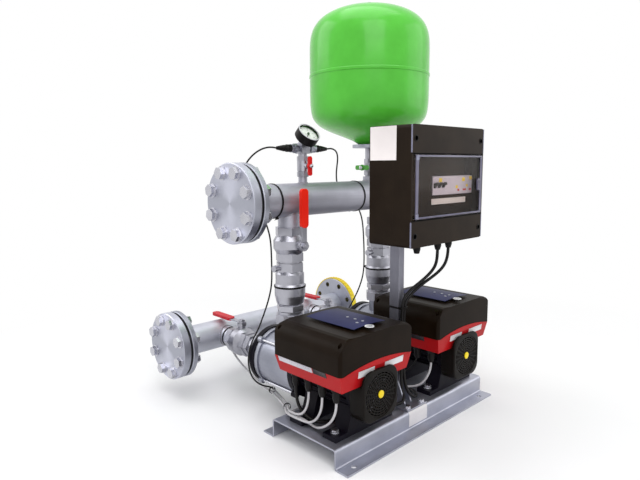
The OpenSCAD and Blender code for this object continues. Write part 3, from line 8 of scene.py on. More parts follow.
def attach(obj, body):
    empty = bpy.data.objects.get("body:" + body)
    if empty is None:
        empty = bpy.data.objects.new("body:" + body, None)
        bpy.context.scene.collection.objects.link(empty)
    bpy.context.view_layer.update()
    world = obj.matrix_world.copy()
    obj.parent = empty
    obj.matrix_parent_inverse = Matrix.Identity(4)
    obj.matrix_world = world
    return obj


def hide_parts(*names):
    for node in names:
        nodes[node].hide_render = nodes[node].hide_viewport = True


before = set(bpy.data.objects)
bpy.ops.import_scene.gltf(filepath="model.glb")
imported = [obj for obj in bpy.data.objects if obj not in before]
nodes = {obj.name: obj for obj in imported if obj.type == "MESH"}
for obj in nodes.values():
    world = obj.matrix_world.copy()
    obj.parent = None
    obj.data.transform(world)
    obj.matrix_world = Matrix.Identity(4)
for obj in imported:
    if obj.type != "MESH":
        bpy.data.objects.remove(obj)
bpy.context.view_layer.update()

scene = bpy.context.scene

# Places and sizes as in the part's source: metres, or millimetres where they go through mm()
PUMPS = (("left", -0.1875), ("right", 0.1875))
SHAFT_Z = 0.154
FAN_FACE = -0.138
RISER_Y = 0.186
DISCHARGE_Z = 0.598
SUCTION_Y = 0.534
PIPE_R = 0.0445
BRANCH_R = 0.030
COVER_REACH = 0.131
COVER_FRONT = -0.131
COVER_SEAT = 0.226
COVER_CROWN = 0.315
COVER_ARCH = 0.550
BOX_INSET = 0.002
BOX_DEPTH = 0.042
BOX_SIDE_TAPER = 0.012
BOX_FRONT_TAPER = 0.006
CABINET_FRONT = -0.190
CABINET_HALF = 0.152
RECESS_FLOOR = -0.162
NOSE_FACE = -0.164
DOOR_FACE = -0.191
BASE_FRONT = -0.1125
BASE_BEND = 0.008
BASE_TOP = 0.050
GAUGE_ROOT = (-136, 186, 749)
GAUGE_LEAN = 45
DIAL_Z = 0.031
GAUGE_FRONT = 0.040
GAUGE_R = 0.032
DIAL_R = 0.0285
TANK_AXIS = (0.135, 0.186)
CAMERA_PLACE = (-1138.3, -924.5, 689.7)
CAMERA_YAW, CAMERA_PITCH, CAMERA_ROLL = 43.82, 7.80, -0.37
CAMERA_LENS, CAMERA_SENSOR = 30.675, 36.0

# Ways, turns and edge widths that many pieces share
ALONG, BACK, UP = Vector((1, 0, 0)), Vector((0, 1, 0)), Vector((0, 0, 1))
FORWARD, LEFTWARD = -BACK, -ALONG
FLAT = (0, 0, 0)
FRONTAL = (math.pi / 2, 0, 0)
EDGE_EASE = 0.0007
FINE_EDGE = 0.0003
SOFT_EDGE = 0.0004
ROUND_EDGE = 0.0005
POINT_MERGE = 0.000002
PLATE_SHEET = 0.0008


def mm(*values):
    """Millimetres to a point in metres."""
    return Vector(values) / 1000


def at(x, y, z):
    """A shift by so much."""
    return Matrix.Translation((x, y, z))


# Materials

GRAIN_DEPTH, RING_DEPTH = 0.0002, 0.00002


def shader(name):
    """A new material with its node tree, its shader node and its object coordinates."""
    made = bpy.data.materials.new(name)
    made.use_nodes = True
    tree = made.node_tree
    surface = tree.nodes["Principled BSDF"]
    place = tree.nodes.new("ShaderNodeTexCoord").outputs["Object"]
    return made, tree, surface, place


def stretched(tree, place, scale):
    """Object coordinates scaled apart along the three axes."""
    node = tree.nodes.new("ShaderNodeMapping")
    node.inputs["Scale"].default_value = scale
    tree.links.new(place, node.inputs["Vector"])
    return node.outputs["Vector"]


def noise(tree, place, scale, detail=4.0, rough=0.55):
    """A noise texture's factor."""
    node = tree.nodes.new("ShaderNodeTexNoise")
    node.inputs["Scale"].default_value = scale
    node.inputs["Detail"].default_value = detail
    node.inputs["Roughness"].default_value = rough
    tree.links.new(place, node.inputs["Vector"])
    return node.outputs["Fac"]


def between(tree, factor, low, high, start=0.3, end=0.7):
    """A value that goes from low to high as the factor goes from start to end."""
    node = tree.nodes.new("ShaderNodeMapRange")
    node.inputs["From Min"].default_value = start
    node.inputs["From Max"].default_value = end
    node.inputs["To Min"].default_value = low
    node.inputs["To Max"].default_value = high
    tree.links.new(factor, node.inputs["Value"])
    return node.outputs["Result"]


def blend_of(tree, factor, first, second, start=0.3, end=0.7):
    """A colour that goes from first to second as the factor goes from start to end."""
    node = tree.nodes.new("ShaderNodeValToRGB")
    node.color_ramp.elements[0].position = start
    node.color_ramp.elements[0].color = (*first, 1)
    node.color_ramp.elements[1].position = end
    node.color_ramp.elements[1].color = (*second, 1)
    tree.links.new(factor, node.inputs["Fac"])
    return node.outputs["Color"]


def roughen(tree, surface, height, depth, strength):
    """Fine relief on the surface, with its sharp edges eased a little."""
    edges = tree.nodes.new("ShaderNodeBevel")
    edges.samples = 6
    edges.inputs["Radius"].default_value = EDGE_EASE
    node = tree.nodes.new("ShaderNodeBump")
    node.inputs["Strength"].default_value = strength
    node.inputs["Distance"].default_value = depth
    tree.links.new(height, node.inputs["Height"])
    tree.links.new(edges.outputs["Normal"], node.inputs["Normal"])
    tree.links.new(node.outputs["Normal"], surface.inputs["Normal"])


def sum_of(tree, operation, first, second=None):
    """The result of one step of arithmetic on sockets or numbers."""
    node = tree.nodes.new("ShaderNodeMath")
    node.operation = operation
    for socket, value in zip(node.inputs, (first, second)):
        if isinstance(value, (int, float)):
            socket.default_value = value
        elif value is not None:
            tree.links.new(value, socket)
    return node.outputs["Value"]


def bare_metal(name, dark, light, smooth, rough, streak, grain, relief):
    """Satin metal: cloudy colour, drawn streaks in its gloss, and a fine grain."""
    made, tree, surface, place = shader(name)
    clouds = noise(tree, place, 9.0, 5.0, 0.6)
    lines = noise(tree, stretched(tree, place, streak), grain, 3.0)
    surface.inputs["Metallic"].default_value = 1.0
    tree.links.new(blend_of(tree, clouds, dark, light), surface.inputs["Base Color"])
    tree.links.new(between(tree, lines, smooth, rough), surface.inputs["Roughness"])
    roughen(tree, surface, lines, GRAIN_DEPTH, relief)
    return made


def moulded(name, dark, light, smooth, rough, grain, relief, shine=0.5, coat=0.0):
    """Plastic or paint: slight cloudiness, a fine moulded grain and an optional clear coat."""
    made, tree, surface, place = shader(name)
    clouds = noise(tree, place, 14.0, 3.0)
    texture = noise(tree, place, grain, 2.0)
    tree.links.new(blend_of(tree, clouds, dark, light), surface.inputs["Base Color"])
    tree.links.new(between(tree, texture, smooth, rough), surface.inputs["Roughness"])
    surface.inputs["Specular IOR Level"].default_value = shine
    surface.inputs["Coat Weight"].default_value = coat
    surface.inputs["Coat Roughness"].default_value = 0.08
    roughen(tree, surface, texture, GRAIN_DEPTH, relief)
    return made


def turned_faces(name, dark, light):
    """Two flanges turned on a lathe: fine rings round each centre in the relief, and a painted highlight in
    the colour that fans out from it.
    """
    made, tree, surface, place = shader(name)
    parts = tree.nodes.new("ShaderNodeSeparateXYZ")
    tree.links.new(place, parts.inputs["Vector"])
    upper = sum_of(tree, "GREATER_THAN", parts.outputs["Z"], (DISCHARGE_Z + SHAFT_Z) / 2)
    middle_y = between(tree, upper, SUCTION_Y, RISER_Y, 0.0, 1.0)
    middle_z = between(tree, upper, SHAFT_Z, DISCHARGE_Z, 0.0, 1.0)
    across = sum_of(tree, "SUBTRACT", parts.outputs["Y"], middle_y)
    up = sum_of(tree, "SUBTRACT", parts.outputs["Z"], middle_z)
    reach = sum_of(tree, "SQRT", sum_of(tree, "ADD", sum_of(tree, "MULTIPLY", across, across),
                                        sum_of(tree, "MULTIPLY", up, up)))
    # Painted highlight: the colour is lighter in two opposite wedges round each centre, standing in for the
    # sheen of a turned face.
    painted_wedge_highlight = sum_of(tree, "COSINE", sum_of(tree, "MULTIPLY", sum_of(tree, "ARCTAN2", across, up), 2.0))
    rings = sum_of(tree, "SINE", sum_of(tree, "MULTIPLY", reach, 9000.0))
    mottle = noise(tree, place, 30.0, 4.0)
    mottle_and_wedge_highlight = sum_of(tree, "ADD", sum_of(tree, "MULTIPLY", painted_wedge_highlight, 0.5), mottle)
    surface.inputs["Metallic"].default_value = 1.0
    tree.links.new(blend_of(tree, mottle_and_wedge_highlight, dark, light, 0.1, 1.0), surface.inputs["Base Color"])
    tree.links.new(between(tree, mottle_and_wedge_highlight, 0.44, 0.32, 0.1, 1.0), surface.inputs["Roughness"])
    roughen(tree, surface, rings, RING_DEPTH, 0.25)
    return made


def clear(name, colour, bend, rough):
    """Clear plastic or glass with a faint haze."""
    made, tree, surface, place = shader(name)
    haze = noise(tree, place, 60.0, 3.0)
    surface.inputs["Base Color"].default_value = (*colour, 1)
    surface.inputs["IOR"].default_value = bend
    surface.inputs["Transmission Weight"].default_value = 1.0
    tree.links.new(between(tree, haze, rough, rough * 2.5), surface.inputs["Roughness"])
    return made


# Metals: dark and light colour, least and most roughness, stretch of the streaks, grain, relief
METALS = {
    "galvanised_sheet": ((0.36, 0.37, 0.43), (0.48, 0.49, 0.56), 0.40, 0.54, (6, 60, 60), 4.0, 0.06),
    # The post and rails: the galvanised sheet made darker, a painted shade from the cabinet over them.
    "post_steel_painted_shade": ((0.22, 0.22, 0.26), (0.30, 0.30, 0.35), 0.40, 0.54, (60, 60, 6), 4.0, 0.06),
    "drawn_pipe": ((0.37, 0.37, 0.42), (0.47, 0.47, 0.53), 0.50, 0.64, (3, 70, 70), 4.0, 0.06),
    "suction_pipe": ((0.50, 0.51, 0.57), (0.62, 0.63, 0.70), 0.46, 0.60, (3, 70, 70), 4.0, 0.06),
    "sleeve_steel": ((0.25, 0.26, 0.31), (0.35, 0.36, 0.42), 0.32, 0.44, (50, 6, 50), 4.0, 0.04),
    "turned_steel": ((0.31, 0.32, 0.37), (0.42, 0.43, 0.49), 0.36, 0.48, (40, 40, 40), 3.0, 0.04),
    "cast_steel": ((0.33, 0.33, 0.37), (0.47, 0.47, 0.52), 0.32, 0.46, (30, 30, 30), 10.0, 0.10),
    "bolt_zinc": ((0.46, 0.46, 0.50), (0.62, 0.62, 0.67), 0.22, 0.32, (40, 40, 40), 2.0, 0.02),
    "weld_steel": ((0.22, 0.21, 0.23), (0.38, 0.37, 0.40), 0.36, 0.56, (90, 90, 90), 6.0, 0.30),
}
# Plastics and paints: dark and light colour, least and most roughness, grain, relief, then shine and
# clear coat where they are not the usual ones
PLASTICS = {
    "motor_paint": ((0.003, 0.002, 0.005), (0.006, 0.005, 0.010), 0.36, 0.50, 260.0, 0.12, 0.10),
    "fan_plastic": ((0.004, 0.003, 0.002), (0.008, 0.006, 0.005), 0.34, 0.46, 600.0, 0.06, 0.10),
    "cover_plastic": ((0.006, 0.003, 0.001), (0.011, 0.006, 0.003), 0.36, 0.48, 700.0, 0.06, 0.07),
    "foil_blue": ((0.016, 0.018, 0.070), (0.028, 0.032, 0.112), 0.28, 0.36, 400.0, 0.02, 0.025),
    "key_grey": ((0.30, 0.31, 0.36), (0.40, 0.41, 0.46), 0.30, 0.40, 400.0, 0.04),
    "lamp_white": ((0.72, 0.72, 0.74), (0.82, 0.82, 0.84), 0.30, 0.40, 400.0, 0.04),
    "lamp_lens": ((0.30, 0.31, 0.33), (0.42, 0.43, 0.45), 0.10, 0.16, 200.0, 0.02, 0.6, 0.5),
    "gland_plastic": ((0.004, 0.003, 0.003), (0.009, 0.008, 0.008), 0.34, 0.50, 500.0, 0.08, 0.15),
    "cabinet_plastic": ((0.013, 0.008, 0.005), (0.020, 0.013, 0.008), 0.30, 0.42, 900.0, 0.05, 0.07),
    "box_paint": ((0.41, 0.007, 0.010), (0.46, 0.010, 0.012), 0.28, 0.34, 40.0, 0.0, 0.10, 0.05),
    "tank_paint": ((0.080, 0.47, 0.036), (0.098, 0.55, 0.048), 0.20, 0.26, 40.0, 0.0, 0.25, 0.15),
    "cap_yellow": ((0.86, 0.62, 0.004), (0.98, 0.78, 0.012), 0.30, 0.42, 300.0, 0.05, 0.40),
    "grip_orange": ((0.80, 0.012, 0.003), (0.90, 0.022, 0.005), 0.40, 0.54, 400.0, 0.06, 0.20),
    "grip_red": ((0.52, 0.012, 0.024), (0.66, 0.024, 0.036), 0.40, 0.54, 400.0, 0.06, 0.20),
    "enamel_red": ((0.66, 0.008, 0.008), (0.80, 0.016, 0.012), 0.26, 0.38, 250.0, 0.04, 0.25, 0.2),
    "enamel_green": ((0.045, 0.28, 0.020), (0.075, 0.40, 0.035), 0.26, 0.38, 250.0, 0.04, 0.45, 0.3),
    "gasket_rubber": ((0.004, 0.004, 0.004), (0.010, 0.010, 0.010), 0.55, 0.75, 500.0, 0.2, 0.30),
    "stator_iron": ((0.20, 0.10, 0.05), (0.30, 0.16, 0.08), 0.45, 0.6, 300.0, 0.2),
    "module_plastic": ((0.56, 0.54, 0.66), (0.66, 0.64, 0.76), 0.32, 0.46, 500.0, 0.04, 0.3),
    "mark_yellow": ((0.82, 0.60, 0.02), (0.92, 0.72, 0.04), 0.34, 0.46, 500.0, 0.04),
    "mark_red": ((0.46, 0.02, 0.02), (0.60, 0.04, 0.03), 0.34, 0.46, 500.0, 0.04),
    "plate_silver": ((0.50, 0.48, 0.54), (0.64, 0.62, 0.68), 0.24, 0.34, 300.0, 0.03, 0.6),
    "plate_white": ((0.70, 0.68, 0.70), (0.80, 0.78, 0.80), 0.36, 0.48, 300.0, 0.03),
    "label_cream": ((0.86, 0.80, 0.79), (0.94, 0.88, 0.87), 0.36, 0.48, 300.0, 0.03),
    "plate_dark": ((0.014, 0.011, 0.013), (0.028, 0.022, 0.025), 0.24, 0.36, 300.0, 0.03, 0.2),
    # Painted highlight: a light lavender colour for the cabinet's front corners and the door's knuckles, where
    # their edges catch the light.
    "painted_edge_highlight": ((0.14, 0.14, 0.21), (0.24, 0.24, 0.34), 0.22, 0.32, 300.0, 0.03, 0.4),
    "joint_black": ((0.002, 0.002, 0.002), (0.004, 0.004, 0.004), 0.60, 0.75, 300.0, 0.05, 0.05),
    "dial_white": ((0.80, 0.79, 0.76), (0.88, 0.87, 0.84), 0.40, 0.52, 300.0, 0.02),
    "dial_ink": ((0.010, 0.010, 0.010), (0.022, 0.022, 0.022), 0.40, 0.56, 300.0, 0.02),
    "black_jacket": ((0.005, 0.004, 0.004), (0.011, 0.010, 0.010), 0.30, 0.46, 600.0, 0.06, 0.20),
    "grey_jacket": ((0.46, 0.45, 0.47), (0.58, 0.57, 0.59), 0.34, 0.50, 600.0, 0.08),
    # Painted highlight: the light lavender that the clear door's frame and bars show, put in as their colour.
    "door_painted_highlight": ((0.080, 0.075, 0.125), (0.140, 0.130, 0.200), 0.14, 0.22, 200.0, 0.02, 0.5),
}
looks = {name: bare_metal(name, *row) for name, row in METALS.items()}
looks.update({name: moulded(name, *row) for name, row in PLASTICS.items()})
looks["flange_steel"] = turned_faces("flange_steel", dark=(0.39, 0.40, 0.46), light=(0.56, 0.57, 0.66))
looks["door_clear"] = clear("door_clear", colour=(0.86, 0.80, 0.76), bend=1.12, rough=0.02)
looks["gauge_clear"] = clear("gauge_clear", colour=(0.98, 0.99, 1.0), bend=1.20, rough=0.01)

FINISHES = {
    "galvanised_sheet": ["base_frame", "stand_foot"],
    "post_steel_painted_shade": ["cabinet_post", "cabinet_rails"],
    "drawn_pipe": ["discharge_manifold"],
    "suction_pipe": ["suction_manifold"],
    "sleeve_steel": ["pump_sleeves"],
    "flange_steel": ["blind_flanges"],
    "turned_steel": ["loose_flanges", "pump_casings", "pressure_sensors", "tank_flange", "motor_bearings",
                     "rotor_left", "rotor_right", "check_poppet_left", "check_poppet_right"],
    "cast_steel": ["union_nuts", "check_valves", "ball_valves", "gauge_valve", "tank_valve",
                   "discharge_lever_left", "discharge_lever_right",
                   "suction_lever_left", "suction_lever_right"],
    "bolt_zinc": ["frame_bolts", "flange_bolts", "staybolts"],
    "motor_paint": ["motor_housings", "casing_rims"],
    "fan_plastic": ["fan_covers"],
    "cover_plastic": ["terminal_covers"],
    "gland_plastic": ["cable_glands", "sensor_plugs", "gauge_case", "tank_cap", "main_switch_toggle",
                      "cable_ties"],
    "dial_ink": ["gauge_needle"],
    "cabinet_plastic": ["cabinet_box", "cabinet_cover"],
    "box_paint": ["terminal_boxes"],
    "tank_paint": ["tank_shell"],
    "cap_yellow": ["suction_flange_cover", "discharge_flange_cover"],
    "grip_orange": ["discharge_grip_left", "discharge_grip_right"],
    "grip_red": ["suction_grip_left", "suction_grip_right"],
    "enamel_red": ["gauge_valve_handle"],
    "enamel_green": ["tank_valve_handle"],
    "gasket_rubber": ["flange_gaskets", "shaft_seals"],
    "stator_iron": ["stators"],
    "module_plastic": ["breakers"],
    "black_jacket": ["black_cables"],
    "grey_jacket": ["grey_cables"],
    "door_clear": ["cabinet_door"],
    "gauge_clear": ["gauge_glass"],
}
for finish, names in FINISHES.items():
    for name in names:
        nodes[name].data.materials.clear()
        nodes[name].data.materials.append(looks[finish])


# Shaping

def clear_selection():
    """Nothing selected and nothing active."""
    bpy.ops.object.select_all(action="DESELECT")
    bpy.context.view_layer.objects.active = None


def take(piece):
    """Selects one piece alone."""
    clear_selection()
    piece.select_set(True)
    bpy.context.view_layer.objects.active = piece


def settled():
    """The piece just added, with its place and turn put into its mesh."""
    bpy.ops.object.transform_apply(location=True, rotation=True, scale=True)
    return bpy.context.active_object


def block(centre, size, turn=FLAT):
    """A block to shape."""
    clear_selection()
    bpy.ops.mesh.primitive_cube_add(size=1, location=centre, rotation=turn, scale=size)
    return settled()


def drum(centre, radius, height, turn=FLAT, sides=48):
    """A round blank to shape."""
    clear_selection()
    bpy.ops.mesh.primitive_cylinder_add(vertices=sides, radius=radius, depth=height, location=centre,
                                        rotation=turn)
    return settled()


def front_sheet(left, right, low, high, y):
    """A flat sheet that looks forward."""
    clear_selection()
    bpy.ops.mesh.primitive_plane_add(size=1, location=((left + right) / 2, y, (low + high) / 2),
                                     rotation=FRONTAL)
    bpy.ops.transform.resize(value=(right - left, 1, high - low))
    return settled()


def open_edit(piece):
    """Starts work on a piece's faces."""
    take(piece)
    bpy.ops.object.mode_set(mode="EDIT")
    bpy.ops.mesh.select_mode(type="FACE")


def close_edit():
    """Ends work on a piece's faces."""
    bpy.ops.object.mode_set(mode="OBJECT")


def pick_facing(piece, way):
    """Selects the faces that look one way."""
    bpy.ops.mesh.select_all(action="DESELECT")
    shape = bmesh.from_edit_mesh(piece.data)
    for face in shape.faces:
        face.select_set(face.normal.dot(Vector(way)) > 0.95)
    bmesh.update_edit_mesh(piece.data)


def pick_all():
    """Selects the whole mesh."""
    bpy.ops.mesh.select_all(action="SELECT")


def draw_out(move):
    """Extrudes what is picked."""
    bpy.ops.mesh.extrude_region_move(TRANSFORM_OT_translate={"value": move})


def pick_edges(piece, wanted):
    """Selects the edges whose two ends lie as wanted."""
    bpy.ops.mesh.select_mode(type="EDGE")
    bpy.ops.mesh.select_all(action="DESELECT")
    shape = bmesh.from_edit_mesh(piece.data)
    for edge in shape.edges:
        edge.select_set(wanted(*(corner.co for corner in edge.verts)))
    bmesh.update_edit_mesh(piece.data)


def soften(piece, width, segments=2, angle=40):
    """Rounds the sharp edges of a piece."""
    take(piece)
    edges = piece.modifiers.new("soft_edges", "BEVEL")
    edges.width = width
    edges.segments = segments
    edges.limit_method = "ANGLE"
    edges.angle_limit = math.radians(angle)
    bpy.ops.object.modifier_apply(modifier="soft_edges")


def thicken(piece, thickness):
    """Gives a sheet its thickness, outwards."""
    take(piece)
    sheet = piece.modifiers.new("sheet", "SOLIDIFY")
    sheet.thickness = thickness
    sheet.offset = 1.0
    bpy.ops.object.modifier_apply(modifier="sheet")


def smooth(piece, angle=35):
    """Smooth shading, with edges sharper than the angle kept."""
    take(piece)
    bpy.ops.object.shade_smooth_by_angle(angle=math.radians(angle))


def seat(piece, name, finish, body):
    """Names a finished piece, gives it its material and lets it ride on a body."""
    smooth(piece)
    piece.name = name
    piece.data.name = name
    piece.data.materials.clear()
    piece.data.materials.append(looks[finish])
    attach(piece, body)
    return piece


def twin(piece, name, shift, finish, body):
    """A copy of a piece with a mesh of its own, set down at another place."""
    other = piece.copy()
    other.data = piece.data.copy()
    other.data.transform(shift)
    scene.collection.objects.link(other)
    return seat(other, name, finish, body)


def spread(blank, places, finish, body):
    """Copies a blank to each named place. The blank itself goes."""
    for name, place in places:
        twin(blank, name, place, finish, body)
    bpy.data.objects.remove(blank)


def on_both(blank, name, finish):
    """Copies a blank, made at the middle of the set, to the left and the right pump."""
    places = [("%s_%s" % (name, side), at(middle, 0, 0)) for side, middle in PUMPS]
    spread(blank, places, finish, "pump_set")


def merge_seams(piece):
    """Joins the points that lie on each other, so that caps and seams are closed."""
    open_edit(piece)
    pick_all()
    bpy.ops.mesh.remove_doubles(threshold=POINT_MERGE)
    bpy.ops.mesh.normals_make_consistent(inside=False)
    close_edit()


def cut_away(piece, cutter):
    """Takes a cutter's shape out of a piece. The cutter goes."""
    take(piece)
    opening = piece.modifiers.new("opening", "BOOLEAN")
    opening.operation = "DIFFERENCE"
    opening.object = cutter
    bpy.ops.object.modifier_apply(modifier="opening")
    bpy.data.objects.remove(cutter)


def bare_plate(centre, size, turn, way, border):
    """A thin plate with a shallow line round its face."""
    plate = block(centre, size, turn)
    open_edit(plate)
    pick_facing(plate, way)
    bpy.ops.mesh.inset(thickness=border, depth=0)
    bpy.ops.mesh.inset(thickness=border / 4, depth=-min(size) / 4)
    close_edit()
    return plate


def disc(centre, radius, height, turn, way, border, rise=0, depth=0):
    """A round piece with a raised middle, or with a straight-sided recess."""
    piece = drum(centre, radius, height, turn)
    open_edit(piece)
    pick_facing(piece, way)
    bpy.ops.mesh.inset(thickness=border, depth=0)
    if rise:
        bpy.ops.transform.translate(value=way * rise)
    if depth:
        draw_out(way * -depth)
    close_edit()
    return piece


def round_line(name, points, radius, closed=False, swell=None):
    """A round bar along points, made a mesh."""
    clear_selection()
    line = bpy.data.curves.new(name, "CURVE")
    line.dimensions = "3D"
    line.bevel_depth = radius
    line.bevel_resolution = 5
    line.use_fill_caps = not closed
    spline = line.splines.new("POLY")
    spline.points.add(len(points) - 1)
    spline.use_cyclic_u = closed
    for i, (point, place) in enumerate(zip(spline.points, points)):
        point.co = (*place, 1)
        point.radius = swell(i) if swell else 1.0
    bar = bpy.data.objects.new(name, line)
    scene.collection.objects.link(bar)
    take(bar)
    bpy.ops.object.convert(target="MESH")
    bar = bpy.context.view_layer.objects.active
    merge_seams(bar)
    return bar


# Cables: smooth round leads along the part's own routes, in millimetres

SUPPLY_R, LEAD_R, SIGNAL_R = 4.2, 2.2, 3.0
SUPPLY_ROUTES = [
    [(85, -103, 480), (85, -103, 445), (81, -101, 420), (66, -91, 398), (44, -77, 377), (20, -63, 358),
     (2, -57, 340), (-5, -56, 316), (-5, -56, 220), (-5, -56, 130), (-5, -59, 90), (-6, -66, 75),
     (-19, -80, 65), (-42, -78, 60), (-70, -31, 55), (-84, -17, 55), (-130, -13, 55), (-187, -13, 55),
     (-240, -8, 55), (-268, 14, 60), (-284, 44, 86), (-286.5, 53, 120), (-286.5, 53, 156)],
    [(136, -103, 480), (136, -103, 448), (130, -100, 420), (110, -92, 399), (82, -81, 382), (52, -69, 364),
     (26, -60, 344), (9, -56, 324), (5, -56, 304), (5, -56, 200), (5, -56, 130), (6, -66, 88), (11, -75, 73),
     (26, -77, 61), (45, -77, 61), (68, -42, 58), (76, -1, 58), (86, 32, 82), (88.5, 53, 118),
     (88.5, 53, 156)],
]
LEAD_ROUTES = [
    [(-226.5, 186, 735), (-250, 187, 738), (-276, 193, 731), (-297, 206, 712), (-306, 224, 685),
     (-303, 240, 650), (-290, 246, 610), (-266, 234, 566), (-247, 214, 546), (-237, 216, 524),
     (-222, 222, 490), (-221, 222, 430), (-221, 222, 372), (-224, 228, 340), (-226, 240, 306),
     (-232, 256, 264), (-242, 263, 232), (-266, 264, 204), (-280, 264, 156), (-270, 264, 106),
     (-246, 262, 78), (-224, 256, 66), (-207, 250, 61), (-209, 240.5, 58)],
    [(-45.5, 186, 735), (-22, 187, 738), (4, 192, 729), (22, 206, 706), (34, 226, 672), (48, 238, 634),
     (69, 238, 598), (110, 238, 584), (146, 240, 560), (163, 238, 528), (168, 236, 490), (168, 232, 430),
     (168, 231, 372), (166, 234, 330), (154, 246, 280), (134, 260, 236), (109, 264, 204), (95, 264, 156),
     (105, 264, 106), (122, 252, 76), (118, 200, 64), (102, 150, 60), (90, 112, 62), (80, 72, 66),
     (74, 30, 78), (76, -12, 100), (86, -36, 128), (88.5, -41, 156)],
]
SIGNAL_ROUTES = [
    [(-286.5, -88, 156), (-286.5, -88, 128), (-290, -78, 100), (-290, -52, 76), (-284, -20, 60),
     (-278, 5, 57), (-282, 30, 66), (-286.5, 54, 66), (-285, 80, 66), (-271, 97, 56), (-240, 104, 54),
     (-190, 104, 54), (-110, 104, 54), (-40, 98, 54), (10, 70, 54), (44, 26, 54), (57, 0, 59), (66, -26, 64),
     (75, -58, 72), (80, -80, 98), (88.5, -88, 128), (88.5, -88, 156)],
    [(-286.5, -41, 156), (-286.5, -41, 126), (-289, -34, 98), (-290, -14, 76), (-290, 8, 66), (-292, 30, 67),
     (-293, 54, 66), (-292, 81, 66), (-277, 106, 59), (-259, 126, 57), (-239, 178, 57), (-223, 222, 56),
     (-217.5, 240, 55.5), (-216, 270, 54), (-206, 310, 57), (-198, 360, 66), (-195, 410, 82),
     (-193, 450, 102), (-191, 472, 119)],
    [(-286.5, 6, 156), (-286.5, 6, 130), (-289, 11, 102), (-291, 26, 82), (-289.5, 52, 73), (-287, 82, 72.5),
     (-267, 107, 63), (-250, 126, 59), (-231, 178, 59), (-213, 224, 58), (-209, 239.5, 58)],
]


def eased(route, steps=6):
    """A smooth line along the route, from its first point to its last, that rounds its corners."""
    points = [mm(*p) for p in route]
    ends = [points[0] * 2 - points[1], *points, points[-1] * 2 - points[-2]]
    fine = []
    for a, b, c, d in zip(ends, ends[1:], ends[2:], ends[3:]):
        for i in range(steps):
            t = i / steps
            fine.append((a * (1 - t) ** 3 + b * (3 * t ** 3 - 6 * t * t + 4)
                         + c * (-3 * t ** 3 + 3 * t * t + 3 * t + 1) + d * t ** 3) / 6)
    return [*fine, points[-1]]


def lead(name, route, radius, finish, stands_for):
    """One cable along its route, in the place of the part's own."""
    line = eased(route)
    cable = round_line(name, line, radius / 1000)
    seat(cable, name, finish, "pump_set")
    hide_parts(stands_for)


for side, route in zip(("left", "right"), SUPPLY_ROUTES):
    lead("supply_cable_" + side, route, SUPPLY_R, "black_jacket", "black_cables")
for side, route in zip(("left", "right"), LEAD_ROUTES):
    lead("sensor_lead_" + side, route, LEAD_R, "black_jacket", "black_cables")
for number, route in enumerate(SIGNAL_ROUTES, 1):
    lead("signal_lead_%d" % number, route, SIGNAL_R, "grey_jacket", "grey_cables")


# Terminal covers: foil, keys and lamp on top

FOIL_X = (-0.052, 0.062)
FOIL_Y = (-0.098, 0.064)
FOIL_SHEET = 0.0004
FOIL_LIFT = 0.0001
KEYS = ((0.0095, -0.021), (0.0095, -0.046), (0.0095, -0.071), (-0.0105, -0.071))
KEY_HEIGHT = 0.0010
LAMP = (-0.0105, -0.110)
LAMP_RING_LIFT = 0.0006
LAMP_LENS_LIFT = 0.0008


def on_arch(x):
    """Height of the cover's arched top beside its middle."""
    return COVER_CROWN - COVER_ARCH + math.sqrt(COVER_ARCH ** 2 - x ** 2)


def arched_foil():
    """A sheet cut out of a wide drum, so that it lies on the cover's arch."""
    clear_selection()
    bpy.ops.mesh.primitive_cylinder_add(
        vertices=720, radius=COVER_ARCH + FOIL_LIFT, depth=FOIL_Y[1] - FOIL_Y[0], end_fill_type="NOTHING",
        location=(0, sum(FOIL_Y) / 2, COVER_CROWN - COVER_ARCH), rotation=FRONTAL)
    foil = settled()
    open_edit(foil)
    for place, way in (((FOIL_X[0], 0, 0), ALONG), ((FOIL_X[1], 0, 0), LEFTWARD), ((0, 0, COVER_SEAT), UP)):
        pick_all()
        bpy.ops.mesh.bisect(plane_co=place, plane_no=way, clear_inner=True)
    close_edit()
    thicken(foil, FOIL_SHEET)
    return foil


def key_blank():
    """One key at the frame's origin."""
    return disc((0, 0, KEY_HEIGHT / 2), radius=0.0036, height=KEY_HEIGHT, turn=FLAT, way=UP,
                border=0.0010, rise=0.0004)


def dress_covers():
    """Foil, keys and lamp on both terminal covers."""
    on_both(arched_foil(), "panel_foil", "foil_blue")
    places = [("panel_key_%s_%d" % (side, number), at(middle + x, y, on_arch(x) + FOIL_SHEET))
              for side, middle in PUMPS for number, (x, y) in enumerate(KEYS, 1)]
    spread(key_blank(), places, "key_grey", "pump_set")
    x, y = LAMP
    ring = disc((x, y, on_arch(x) + LAMP_RING_LIFT), radius=0.0115, height=0.0016, turn=FLAT, way=UP,
                border=0.0032, depth=0.0008)
    soften(ring, FINE_EDGE)
    on_both(ring, "lamp_ring", "lamp_white")
    lens = disc((x, y, on_arch(x) + LAMP_LENS_LIFT), radius=0.0080, height=0.0010, turn=FLAT, way=UP,
                border=0.0030, rise=0.0005)
    on_both(lens, "lamp_lens", "lamp_lens")


dress_covers()


# Terminal boxes: bare plates on the leaning front and left sides, and an arched front edge

SIDE_PLATES = (("rating", "plate_silver", 0.084, -0.036), ("series", "plate_dark", -0.039, -0.083))
SIDE_PLATE_HEIGHT, SIDE_PLATE_Z = 0.0135, 0.2182
FRONT_PLATES = (("inner", -0.068, -0.012), ("outer", 0.026, 0.096))
FRONT_PLATE_HEIGHT, FRONT_PLATE_Z = 0.0165, 0.2155
BOX_PLATE_BORDER = 0.0012
BOX_PLATE_LIFT = 0.0003
ARCH_HALF, ARCH_RISE = 0.119, 0.013
ARCH_SHEET, ARCH_LIFT = 0.0010, 0.0004


